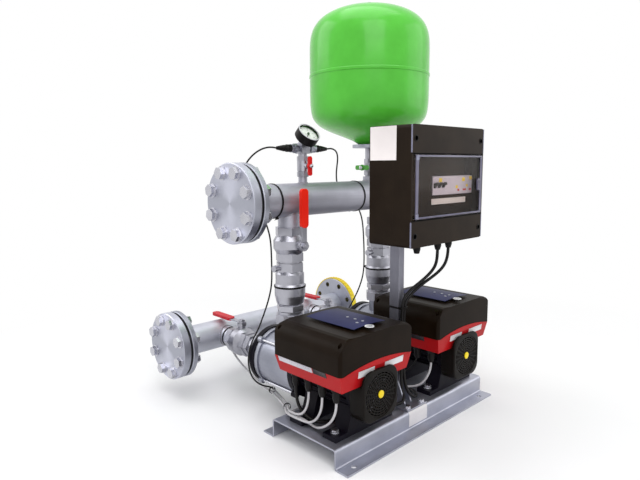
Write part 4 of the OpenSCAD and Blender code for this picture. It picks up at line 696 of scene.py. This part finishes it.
def dress_boxes():
    """Two plates on the front and two on the left of each box."""
    side_slope, front_slope = BOX_SIDE_TAPER / BOX_DEPTH, BOX_FRONT_TAPER / BOX_DEPTH
    side_lean, front_lean = math.atan(side_slope), math.atan(front_slope)
    left_way = (-math.cos(side_lean), 0, -math.sin(side_lean))
    front_way = (0, -math.cos(front_lean), -math.sin(front_lean))
    left_x = -COVER_REACH + BOX_INSET + (COVER_SEAT - SIDE_PLATE_Z) * side_slope - BOX_PLATE_LIFT
    front_y = COVER_FRONT + BOX_INSET + (COVER_SEAT - FRONT_PLATE_Z) * front_slope - BOX_PLATE_LIFT
    for name, finish, rear, front in SIDE_PLATES:
        plate = bare_plate((left_x, (rear + front) / 2, SIDE_PLATE_Z),
                           (PLATE_SHEET, rear - front, SIDE_PLATE_HEIGHT),
                           (0, -side_lean, 0), left_way, BOX_PLATE_BORDER)
        on_both(plate, name + "_plate", finish)
    for name, left, right in FRONT_PLATES:
        plate = bare_plate(((left + right) / 2, front_y, FRONT_PLATE_Z),
                           (right - left, PLATE_SHEET, FRONT_PLATE_HEIGHT),
                           (front_lean, 0, 0), front_way, BOX_PLATE_BORDER)
        on_both(plate, name + "_front_plate", "plate_white")


def arched_edge():
    """The box's front rises in a flat arch in front of the cover: a slice of a wide drum."""
    sweep = (ARCH_HALF ** 2 + ARCH_RISE ** 2) / (2 * ARCH_RISE)
    middle = (0, COVER_FRONT - ARCH_LIFT, COVER_SEAT + ARCH_RISE - sweep)
    arch = drum(middle, sweep, ARCH_SHEET, FRONTAL, sides=360)
    open_edit(arch)
    pick_all()
    bpy.ops.mesh.bisect(plane_co=(0, 0, COVER_SEAT), plane_no=UP, use_fill=True, clear_inner=True)
    close_edit()
    on_both(arch, "box_arch", "box_paint")


dress_boxes()
arched_edge()


# Fan covers: a rounded square rim round each grille, and a plug in its middle

RIM_HALF = 0.0625
RIM_CORNER = 0.030
RIM_BACK = -0.0945
RIM_BORE = 0.0613
LIP_BORE = 0.0572
LIP = 0.0012
LIP_GAP = 0.00005
RIM_EDGE = 0.0035
PLUG_LIFT = 0.0008
BOX_BOTTOM = 0.184
BOX_ROOM_FRONT, BOX_ROOM_BELOW = 0.0012, 0.0008
CUTTER = 0.2


def fan_rim():
    """A rounded square body round the round cover, cut back where the box stands over it."""
    face = FAN_FACE - LIP
    rim = block((0, (face + RIM_BACK) / 2, SHAFT_Z), (2 * RIM_HALF, RIM_BACK - face, 2 * RIM_HALF))
    open_edit(rim)
    pick_edges(rim, lambda first, second: abs(first.y - second.y) > RIM_HALF / 2)
    bpy.ops.mesh.bevel(offset=RIM_CORNER, segments=10)
    close_edit()
    soften(rim, RIM_EDGE, 4)
    cut_away(rim, drum((0, face, SHAFT_Z), LIP_BORE, CUTTER, FRONTAL, sides=96))
    cut_away(rim, drum((0, FAN_FACE - LIP_GAP + CUTTER / 2, SHAFT_Z), RIM_BORE, CUTTER, FRONTAL, sides=96))
    box_front, box_low = COVER_FRONT - BOX_ROOM_FRONT, BOX_BOTTOM - BOX_ROOM_BELOW
    cut_away(rim, block((0, box_front + CUTTER / 4, box_low + CUTTER / 4), (CUTTER, CUTTER / 2, CUTTER / 2)))
    on_both(rim, "fan_rim", "fan_plastic")


def fan_plug():
    """A domed plug."""
    plug = disc((0, FAN_FACE - PLUG_LIFT, SHAFT_Z), radius=0.0095, height=0.0024, turn=FRONTAL, way=FORWARD,
                border=0.0030, rise=0.0010)
    soften(plug, ROUND_EDGE)
    on_both(plug, "fan_plug", "cap_yellow")


fan_rim()
fan_plug()


# Base frame: a bare label folded over the front edge

LABEL_X = (-0.041, 0.038)
LABEL_LOW = 0.010
LABEL_LIFT = 0.0001
LABEL_SHEET = 0.0004
LABEL_TURNS = (0, 12, 24, 36, 48, 60)


def base_label():
    """A label on the front web that runs up round the upper bend."""
    high = BASE_TOP - BASE_BEND
    label = front_sheet(*LABEL_X, LABEL_LOW, high, BASE_FRONT - LABEL_LIFT)
    open_edit(label)
    pick_edges(label, lambda first, second: min(first.z, second.z) > high - LABEL_LIFT)
    reach = BASE_BEND + LABEL_LIFT
    turns = [math.radians(step) for step in LABEL_TURNS]
    for first, second in zip(turns, turns[1:]):
        move = (0, reach * (math.cos(first) - math.cos(second)), reach * (math.sin(second) - math.sin(first)))
        draw_out(move)
    close_edit()
    thicken(label, LABEL_SHEET)
    seat(label, "base_label", "plate_white", "pump_set")


base_label()


# Control cabinet

SCREWS = ((-0.136, 0.748), (0.138, 0.748), (-0.136, 0.528), (0.138, 0.528))
SCREW_LIFT = 0.0003
SIDE_LABEL_LIFT = 0.0002
SIDE_LABEL_Y, SIDE_LABEL_Z, SIDE_LABEL_SIZE = -0.1085, 0.7385, 0.077
YELLOW_MARKS = ((-0.002, 0.652, 0.012), (0.101, 0.652, 0.012), (0.134, 0.655, 0.012), (0.070, 0.634, 0.009),
                (0.117, 0.636, 0.008))
RED_MARKS = ((0.078, 0.626, 0.007), (0.106, 0.626, 0.014), (0.132, 0.626, 0.009))
YELLOW_MARK_SHAPE, RED_MARK_HEIGHT = 0.8, 0.005
MARK_SHEET = 0.0010
MARK_FACE = NOSE_FACE - 0.0003
FLOOR_FACE = RECESS_FLOOR - 0.0004
STRIP_PLACE, STRIP_SIZE = (0.039, FLOOR_FACE, 0.6005), (0.150, MARK_SHEET, 0.014)
WINDOW_PLACE, WINDOW_SIZE = (0.118, FLOOR_FACE, 0.6855), (0.020, 0.0012, 0.040)
DOOR_X = (-0.139, 0.1445)
DOOR_Z = (0.5665, 0.7115)
DOOR_RIM_WIDTH, DOOR_RIM_SHEET = 0.0045, 0.0010
DOOR_LIFT = 0.0001
KNUCKLES = (("upper", 0.7050), ("lower", 0.5730))
KNUCKLE_PLACE, KNUCKLE_SIZE = (-0.1326, DOOR_FACE - 0.0012, 0), (0.010, 0.0022, 0.011)
BEADS = (("upper", 0.7165, 0.7780), ("lower", 0.5020, 0.5610))
BEAD_WIDTH, BEAD_INSET = 0.0030, 0.0009
JOINTS = (("upper", 0.7145), ("lower", 0.5630))
JOINT_PLACE = (0, CABINET_FRONT - 0.0001, 0)
JOINT_SIZE = (2 * CABINET_HALF - 0.002, PLATE_SHEET, 0.0026)


def front_plate(name, finish, centre, size, border):
    """A bare plate on the cabinet that looks forward."""
    seat(bare_plate(centre, size, FLAT, FORWARD, border), name, finish, "pump_set")


def dress_cabinet():
    """Cover screws, a bare side label and the marks, strip and window behind the door."""
    screw = disc((0, CABINET_FRONT - SCREW_LIFT, 0), radius=0.0072, height=0.0016, turn=FRONTAL, way=FORWARD,
                 border=0.0016, depth=0.0011)
    soften(screw, FINE_EDGE)
    places = [("cover_screw_%d" % number, at(x, 0, z)) for number, (x, z) in enumerate(SCREWS, 1)]
    spread(screw, places, "gland_plastic", "pump_set")
    label = bare_plate((-CABINET_HALF - SIDE_LABEL_LIFT, SIDE_LABEL_Y, SIDE_LABEL_Z),
                       (PLATE_SHEET, SIDE_LABEL_SIZE, SIDE_LABEL_SIZE), FLAT, LEFTWARD, border=0.0015)
    seat(label, "cabinet_label", "label_cream", "pump_set")
    for number, (x, z, width) in enumerate(YELLOW_MARKS, 1):
        front_plate("yellow_mark_%d" % number, "mark_yellow", (x, MARK_FACE, z),
                    (width, MARK_SHEET, width * YELLOW_MARK_SHAPE), border=0.0008)
    for number, (x, z, width) in enumerate(RED_MARKS, 1):
        front_plate("red_mark_%d" % number, "mark_red", (x, MARK_FACE, z),
                    (width, MARK_SHEET, RED_MARK_HEIGHT), border=0.0006)
    front_plate("marking_strip", "plate_white", STRIP_PLACE, STRIP_SIZE, border=0.0012)
    front_plate("blank_window", "plate_dark", WINDOW_PLACE, WINDOW_SIZE, border=0.0016)


def door_frame():
    """A narrow raised frame round the clear door, coloured light lavender as a painted highlight of its edges.
    """
    rim = front_sheet(*DOOR_X, *DOOR_Z, DOOR_FACE - DOOR_LIFT)
    open_edit(rim)
    pick_all()
    bpy.ops.mesh.inset(thickness=DOOR_RIM_WIDTH, depth=0)
    bpy.ops.mesh.delete(type="FACE")
    close_edit()
    thicken(rim, DOOR_RIM_SHEET)
    soften(rim, FINE_EDGE)
    seat(rim, "door_frame", "door_painted_highlight", "door")


def door_bar(name, middle, width, low, high, proud):
    """An upright bar on the door with a groove down its face, coloured light lavender as a painted highlight.
    """
    bar = block((middle, DOOR_FACE - proud / 2 - DOOR_LIFT, (low + high) / 2), (width, proud, high - low))
    open_edit(bar)
    pick_facing(bar, FORWARD)
    bpy.ops.mesh.inset(thickness=width / 4, depth=0)
    bpy.ops.mesh.inset(thickness=width / 12, depth=-proud / 3)
    close_edit()
    soften(bar, SOFT_EDGE)
    seat(bar, name, "door_painted_highlight", "door")


def door_fittings():
    """Hinge bar with its two knuckles, and the bar to pull the door by."""
    door_bar("hinge_bar", middle=-0.1330, width=0.0094, low=0.579, high=0.699, proud=0.0016)
    # The knuckles take the light lavender colour, a painted highlight.
    knuckle = bare_plate(KNUCKLE_PLACE, KNUCKLE_SIZE, FLAT, FORWARD, border=0.0014)
    soften(knuckle, SOFT_EDGE)
    spread(knuckle, [("door_knuckle_" + name, at(0, 0, z)) for name, z in KNUCKLES],
           "painted_edge_highlight", "door")
    door_bar("pull_bar", middle=0.1395, width=0.0090, low=0.572, high=0.706, proud=0.0018)
    door_bar("door_pull", middle=0.1260, width=0.0112, low=0.6242, high=0.6538, proud=0.0045)


def cabinet_edges():
    """Light strips on the front corners, a painted highlight of their rounded edges, and the dark joints over
    and under the door.
    """
    reach = CABINET_HALF - BEAD_INSET
    sides = (("left", -reach), ("right", reach))
    for name, low, high in BEADS:
        bead = block((0, CABINET_FRONT + BEAD_INSET, (low + high) / 2), (BEAD_WIDTH, BEAD_WIDTH, high - low))
        soften(bead, BEAD_WIDTH / 3, 3)
        places = [("corner_bead_%s_%s" % (name, side), at(x, 0, 0)) for side, x in sides]
        spread(bead, places, "painted_edge_highlight", "pump_set")
    joint = bare_plate(JOINT_PLACE, JOINT_SIZE, FLAT, FORWARD, border=0.0005)
    spread(joint, [("cover_joint_" + name, at(0, 0, z)) for name, z in JOINTS],
           "joint_black", "pump_set")


dress_cabinet()
cabinet_edges()
door_frame()
door_fittings()


# Tank: a thin shell with a deep lower head, a fuller upper head and a seam bead, as radius and height

TANK_SHEET = 0.0015
LOWER_HEAD = ((30.3, 750.9), (46, 762), (82, 776), (116, 789), (140, 800), (156, 812),
              (168, 826), (173.5, 843), (176.5, 868), (177, 900), (177, 930))
SEAM_BEAD = ((177, 945), (178.6, 947), (178.6, 953), (177, 955))
UPPER_HEAD = ((177, 975), (177, 1020), (176.5, 1044), (174, 1064), (168, 1084), (157, 1101),
              (141, 1116), (118, 1129), (88, 1140), (50, 1147), (14.2, 1149.6))


def tank():
    """A ring at the port, drawn up step by step along the tank's outline and then given its sheet."""
    outline = [*eased(LOWER_HEAD, 4), *(mm(*p) for p in SEAM_BEAD), *eased(UPPER_HEAD, 4)]
    clear_selection()
    bpy.ops.mesh.primitive_circle_add(vertices=128, radius=outline[0].x, location=(*TANK_AXIS, outline[0].y))
    shell = settled()
    open_edit(shell)
    bpy.ops.mesh.select_mode(type="EDGE")
    pick_all()
    for first, second in zip(outline, outline[1:]):
        draw_out((0, 0, second.y - first.y))
        wider = second.x / first.x
        bpy.ops.transform.resize(value=(wider, wider, 1), center_override=(*TANK_AXIS, second.y))
    close_edit()
    merge_seams(shell)
    thicken(shell, -TANK_SHEET)
    seat(shell, "tank", "tank_paint", "pump_set")
    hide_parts("tank_shell")


tank()


# Gauge: dial, scale and rim, made flat and then turned into the gauge's place

SCALE_START = 135
SCALE_SWEEP = 270
SCALE_STEPS = 50
LONG_TICK, SHORT_TICK = (0.0007, 0.0042), (0.0004, 0.0024)
TICK_INSET = 0.0015
INK = 0.0002
FIGURE_R, FIGURE_SIZE = 0.0185, 0.0052
DIAL_LIFT, PRINT_LIFT = 0.0003, 0.0006
RIM_WIDTH, RIM_HEIGHT, RIM_LIFT = 0.0030, 0.0012, 0.0004


def at_gauge():
    """The gauge's place, with the dial's normal along Z."""
    return Matrix.Translation(mm(*GAUGE_ROOT)) @ Matrix.Rotation(math.radians(GAUGE_LEAN), 4, "X")


def dial_tick(width, length):
    """One tick at the top of the dial."""
    return block((0, DIAL_R - TICK_INSET - length / 2, 0), (width, length, INK))


def dial_figure(number):
    """One plain number in its place on the dial, made a mesh."""
    angle = math.radians(90 + SCALE_START - number * SCALE_SWEEP / 10)
    clear_selection()
    bpy.ops.object.text_add(location=(0, 0, 0))
    figure = bpy.context.active_object
    figure.data.body = str(number)
    figure.data.size = FIGURE_SIZE
    figure.data.align_x = figure.data.align_y = "CENTER"
    figure.data.extrude = INK / 2
    figure.location = (FIGURE_R * math.cos(angle), FIGURE_R * math.sin(angle), 0)
    bpy.ops.object.convert(target="MESH")
    merge_seams(bpy.context.active_object)
    return settled()


def dial_print():
    """Tick marks and plain numbers round the dial."""
    long, short = dial_tick(*LONG_TICK), dial_tick(*SHORT_TICK)
    marks = []
    for step in range(SCALE_STEPS + 1):
        blank = short if step % 5 else long
        angle = math.radians(SCALE_START - step * SCALE_SWEEP / SCALE_STEPS)
        tick = blank.copy()
        tick.data = blank.data.copy()
        tick.data.transform(Matrix.Rotation(angle, 4, "Z"))
        scene.collection.objects.link(tick)
        marks.append(tick)
    bpy.data.objects.remove(long)
    bpy.data.objects.remove(short)
    marks += [dial_figure(number) for number in range(0, 11, 2)]
    clear_selection()
    for mark in marks:
        mark.select_set(True)
    bpy.context.view_layer.objects.active = marks[0]
    bpy.ops.object.join()
    print_on_dial = bpy.context.active_object
    print_on_dial.data.transform(at_gauge() @ at(0, 0, DIAL_Z + PRINT_LIFT))
    seat(print_on_dial, "dial_print", "dial_ink", "pump_set")


def dress_gauge():
    """Dial face and front rim."""
    face = disc((0, 0, DIAL_Z + DIAL_LIFT), radius=DIAL_R, height=0.0005, turn=FLAT, way=UP,
                border=0.0254, depth=0.0003)
    face.data.transform(at_gauge())
    seat(face, "dial_face", "dial_white", "pump_set")
    rim = drum((0, 0, GAUGE_FRONT + RIM_LIFT), radius=GAUGE_R, height=RIM_HEIGHT, sides=96)
    open_edit(rim)
    for way in (UP, -UP):
        pick_facing(rim, way)
        bpy.ops.mesh.inset(thickness=RIM_WIDTH, depth=0)
        bpy.ops.mesh.delete(type="FACE")
    bpy.ops.mesh.select_mode(type="EDGE")
    bpy.ops.mesh.select_non_manifold()
    bpy.ops.mesh.bridge_edge_loops()
    close_edit()
    merge_seams(rim)
    soften(rim, FINE_EDGE)
    rim.data.transform(at_gauge())
    seat(rim, "gauge_rim", "plate_silver", "pump_set")


dial_print()
dress_gauge()


# Butterfly handles: a bright cap nut on each stem

NUT_R, NUT_HEIGHT = 0.0060, 0.0040
DOME_INSET, DOME_HEIGHT = 0.0008, 0.0018
CROWN_INSET, CROWN_RISE = 0.0018, 0.0012
HANDLE_NUTS = (("gauge_handle_nut", (-136, 151.6, 688), Matrix.Rotation(math.pi / 2, 4, "X"), "gauge_tap"),
               ("tank_handle_nut", (100.6, 186, 682), Matrix.Rotation(-math.pi / 2, 4, "Y"), "tank_tap"))


def cap_nut():
    """A domed nut at the origin, its dome upwards."""
    nut = drum((0, 0, 0), NUT_R, NUT_HEIGHT, sides=6)
    open_edit(nut)
    pick_facing(nut, UP)
    bpy.ops.mesh.inset(thickness=DOME_INSET, depth=0)
    draw_out(UP * DOME_HEIGHT)
    bpy.ops.mesh.inset(thickness=CROWN_INSET, depth=0)
    bpy.ops.transform.translate(value=UP * CROWN_RISE)
    close_edit()
    soften(nut, SOFT_EDGE)
    return nut


def dress_handles():
    """A nut on the end of each butterfly's stem."""
    nut = cap_nut()
    for name, place, turn, body in HANDLE_NUTS:
        twin(nut, name, Matrix.Translation(mm(*place)) @ turn, "bolt_zinc", body)
    bpy.data.objects.remove(nut)


dress_handles()


# Welds where the branches and sockets meet the pipes

WELD_R = 0.0022
WELD_STEPS = 96
WELD_SWELL, WELD_RIPPLE = 0.18, 2.1
GAUGE_SOCKET, GAUGE_SOCKET_R = (-136, 186, 598), 0.012
TANK_SOCKET, TANK_SOCKET_R = (135, 186, 598), 0.017


def weld(middle, radius, spoke, across, up):
    """A bead along the saddle between a pipe and a branch that leaves it along up."""
    points = []
    for i in range(WELD_STEPS):
        turn = 2 * math.pi * i / WELD_STEPS
        side = radius * math.sin(turn)
        rise = math.sqrt(PIPE_R ** 2 - side ** 2)
        points.append(middle + spoke * radius * math.cos(turn) + across * side + up * rise)
    return round_line("weld", points, WELD_R, True, lambda i: 1.0 + WELD_SWELL * math.sin(i * WELD_RIPPLE))


def dress_pipes():
    """Welds on both branches of both pipes and on the two sockets."""
    discharge = weld(Vector((0, RISER_Y, DISCHARGE_Z)), BRANCH_R, ALONG, BACK, -UP)
    on_both(discharge, "discharge_weld", "weld_steel")
    suction = weld(Vector((0, SUCTION_Y, SHAFT_Z)), BRANCH_R, ALONG, UP, -BACK)
    on_both(suction, "suction_weld", "weld_steel")
    for name, place, radius in (("gauge", GAUGE_SOCKET, GAUGE_SOCKET_R), ("tank", TANK_SOCKET, TANK_SOCKET_R)):
        socket = weld(mm(*place), radius, ALONG, BACK, UP)
        seat(socket, name + "_socket_weld", "weld_steel", "pump_set")


dress_pipes()


# Cable ties: a head with its cut tail on each band

TIE_HEAD, TIE_TAIL, TAIL_INSET = (0.0070, 0.0068, 0.0048), (0.007, 0, 0.0008), 0.0018
MANIFOLD_TIE_R, RISER_TIE_R, BRANCH_TIE_R = 46.0, 43.5, 31.5
BANDS = (("manifold_1", (-245, 186, 598), ALONG, -UP * 0.9 - BACK * 0.4, MANIFOLD_TIE_R),
         ("manifold_2", (69, 186, 598), ALONG, -UP * 0.9 + BACK * 0.4, MANIFOLD_TIE_R),
         ("riser_1", (-187.5, 186, 365), UP, BACK + ALONG * 0.4, RISER_TIE_R),
         ("riser_2", (187.5, 186, 365), UP, BACK - ALONG * 0.4, RISER_TIE_R),
         ("branch_1", (-187.5, 478, 154), BACK, -UP * 0.6 + ALONG * 0.8, BRANCH_TIE_R),
         ("branch_2", (187.5, 478, 154), BACK, -UP * 0.6 - ALONG * 0.8, BRANCH_TIE_R))


def tie_head():
    """One tie head with its tail, the band's middle line through the origin along X, outwards along Z."""
    head = block((0, 0, TIE_HEAD[2] / 2), TIE_HEAD)
    open_edit(head)
    pick_facing(head, ALONG)
    bpy.ops.mesh.inset(thickness=TAIL_INSET, depth=0)
    draw_out(TIE_TAIL)
    close_edit()
    soften(head, ROUND_EDGE)
    return head


def dress_ties():
    """A head on every band."""
    places = []
    for name, middle, axis, way, radius in BANDS:
        tangent = axis.cross(way.normalized()).normalized()
        out = tangent.cross(axis)
        turn = Matrix((tangent, axis, out)).transposed().to_4x4()
        places.append(("tie_head_" + name, Matrix.Translation(mm(*middle) + out * radius / 1000) @ turn))
    spread(tie_head(), places, "gland_plastic", "pump_set")


dress_ties()


# Floor, light and camera

FLOOR_SIZE, FLOOR_Z = 40, -0.0005
FLOOR_FADE = (0.55, 1.7)
SURROUND_LIGHT, SURROUND_SEEN = 0.50, 1.0
LIGHT_AIM = (0, 0.15, 0.45)
LAMPS = (("key", (-1.8, -2.2, 2.6), 2.2, 46), ("fill", (2.4, -2.0, 1.6), 2.4, 20),
         ("rim", (-1.6, 2.6, 2.4), 2.0, 26), ("overhead", (-0.2, 0.1, 3.2), 2.6, 44))


def seen_directly(tree):
    """One for the rays that show the surround itself: straight, by reflection or through glass."""
    path = tree.nodes.new("ShaderNodeLightPath")
    total = path.outputs["Is Camera Ray"]
    for kind in ("Is Glossy Ray", "Is Transmission Ray"):
        total = sum_of(tree, "MAXIMUM", total, path.outputs[kind])
    return total


def pale_floor():
    """A floor that keeps the shadow near the set and runs out into white."""
    clear_selection()
    bpy.ops.mesh.primitive_plane_add(size=FLOOR_SIZE, location=(0, 0, FLOOR_Z))
    floor = bpy.context.active_object
    floor.name = "floor"
    made, tree, surface, place = shader("pale_floor")
    surface.inputs["Roughness"].default_value = 0.9
    surface.inputs["Specular IOR Level"].default_value = 0.1
    tree.links.new(blend_of(tree, noise(tree, place, 2.0), (0.93, 0.93, 0.94), (0.95, 0.95, 0.96)),
                   surface.inputs["Base Color"])
    distance = tree.nodes.new("ShaderNodeVectorMath")
    distance.operation = "LENGTH"
    tree.links.new(place, distance.inputs[0])
    far = between(tree, distance.outputs["Value"], 0.0, 1.0, *FLOOR_FADE)
    white = tree.nodes.new("ShaderNodeEmission")
    mixed = tree.nodes.new("ShaderNodeMixShader")
    tree.links.new(sum_of(tree, "MULTIPLY", far, seen_directly(tree)), mixed.inputs["Fac"])
    tree.links.new(surface.outputs["BSDF"], mixed.inputs[1])
    tree.links.new(white.outputs["Emission"], mixed.inputs[2])
    tree.links.new(mixed.outputs["Shader"], tree.nodes["Material Output"].inputs["Surface"])
    floor.data.materials.append(made)


def studio_light():
    """A white surround and four large soft lamps."""
    world = bpy.data.worlds.new("studio")
    scene.world = world
    world.use_nodes = True
    tree = world.node_tree
    back = tree.nodes["Background"]
    back.inputs["Color"].default_value = (1, 1, 1, 1)
    tree.links.new(between(tree, seen_directly(tree), SURROUND_LIGHT, SURROUND_SEEN, 0.0, 1.0),
                   back.inputs["Strength"])
    for name, place, size, power in LAMPS:
        lamp = bpy.data.lights.new(name, "AREA")
        lamp.size = size
        lamp.energy = power
        holder = bpy.data.objects.new(name, lamp)
        holder.location = place
        holder.rotation_euler = (Vector(LIGHT_AIM) - Vector(place)).to_track_quat("-Z", "Y").to_euler()
        scene.collection.objects.link(holder)


def photo_camera():
    """The camera where the photograph was taken from."""
    yaw, pitch, roll = (math.radians(turn) for turn in (CAMERA_YAW, CAMERA_PITCH, CAMERA_ROLL))
    forward = Vector((math.sin(yaw) * math.cos(pitch), math.cos(yaw) * math.cos(pitch), -math.sin(pitch)))
    level = Vector((math.cos(yaw), -math.sin(yaw), 0))
    upright = level.cross(forward)
    right = level * math.cos(roll) + upright * math.sin(roll)
    up = upright * math.cos(roll) - level * math.sin(roll)
    lens = bpy.data.cameras.new("photo_camera")
    lens.sensor_width = CAMERA_SENSOR
    lens.lens = CAMERA_LENS
    holder = bpy.data.objects.new("photo_camera", lens)
    turn = Matrix((right, up, -forward)).transposed().to_4x4()
    holder.matrix_world = Matrix.Translation(mm(*CAMERA_PLACE)) @ turn
    scene.collection.objects.link(holder)
    scene.camera = holder


pale_floor()
studio_light()
photo_camera()
scene.view_settings.view_transform = "Standard"
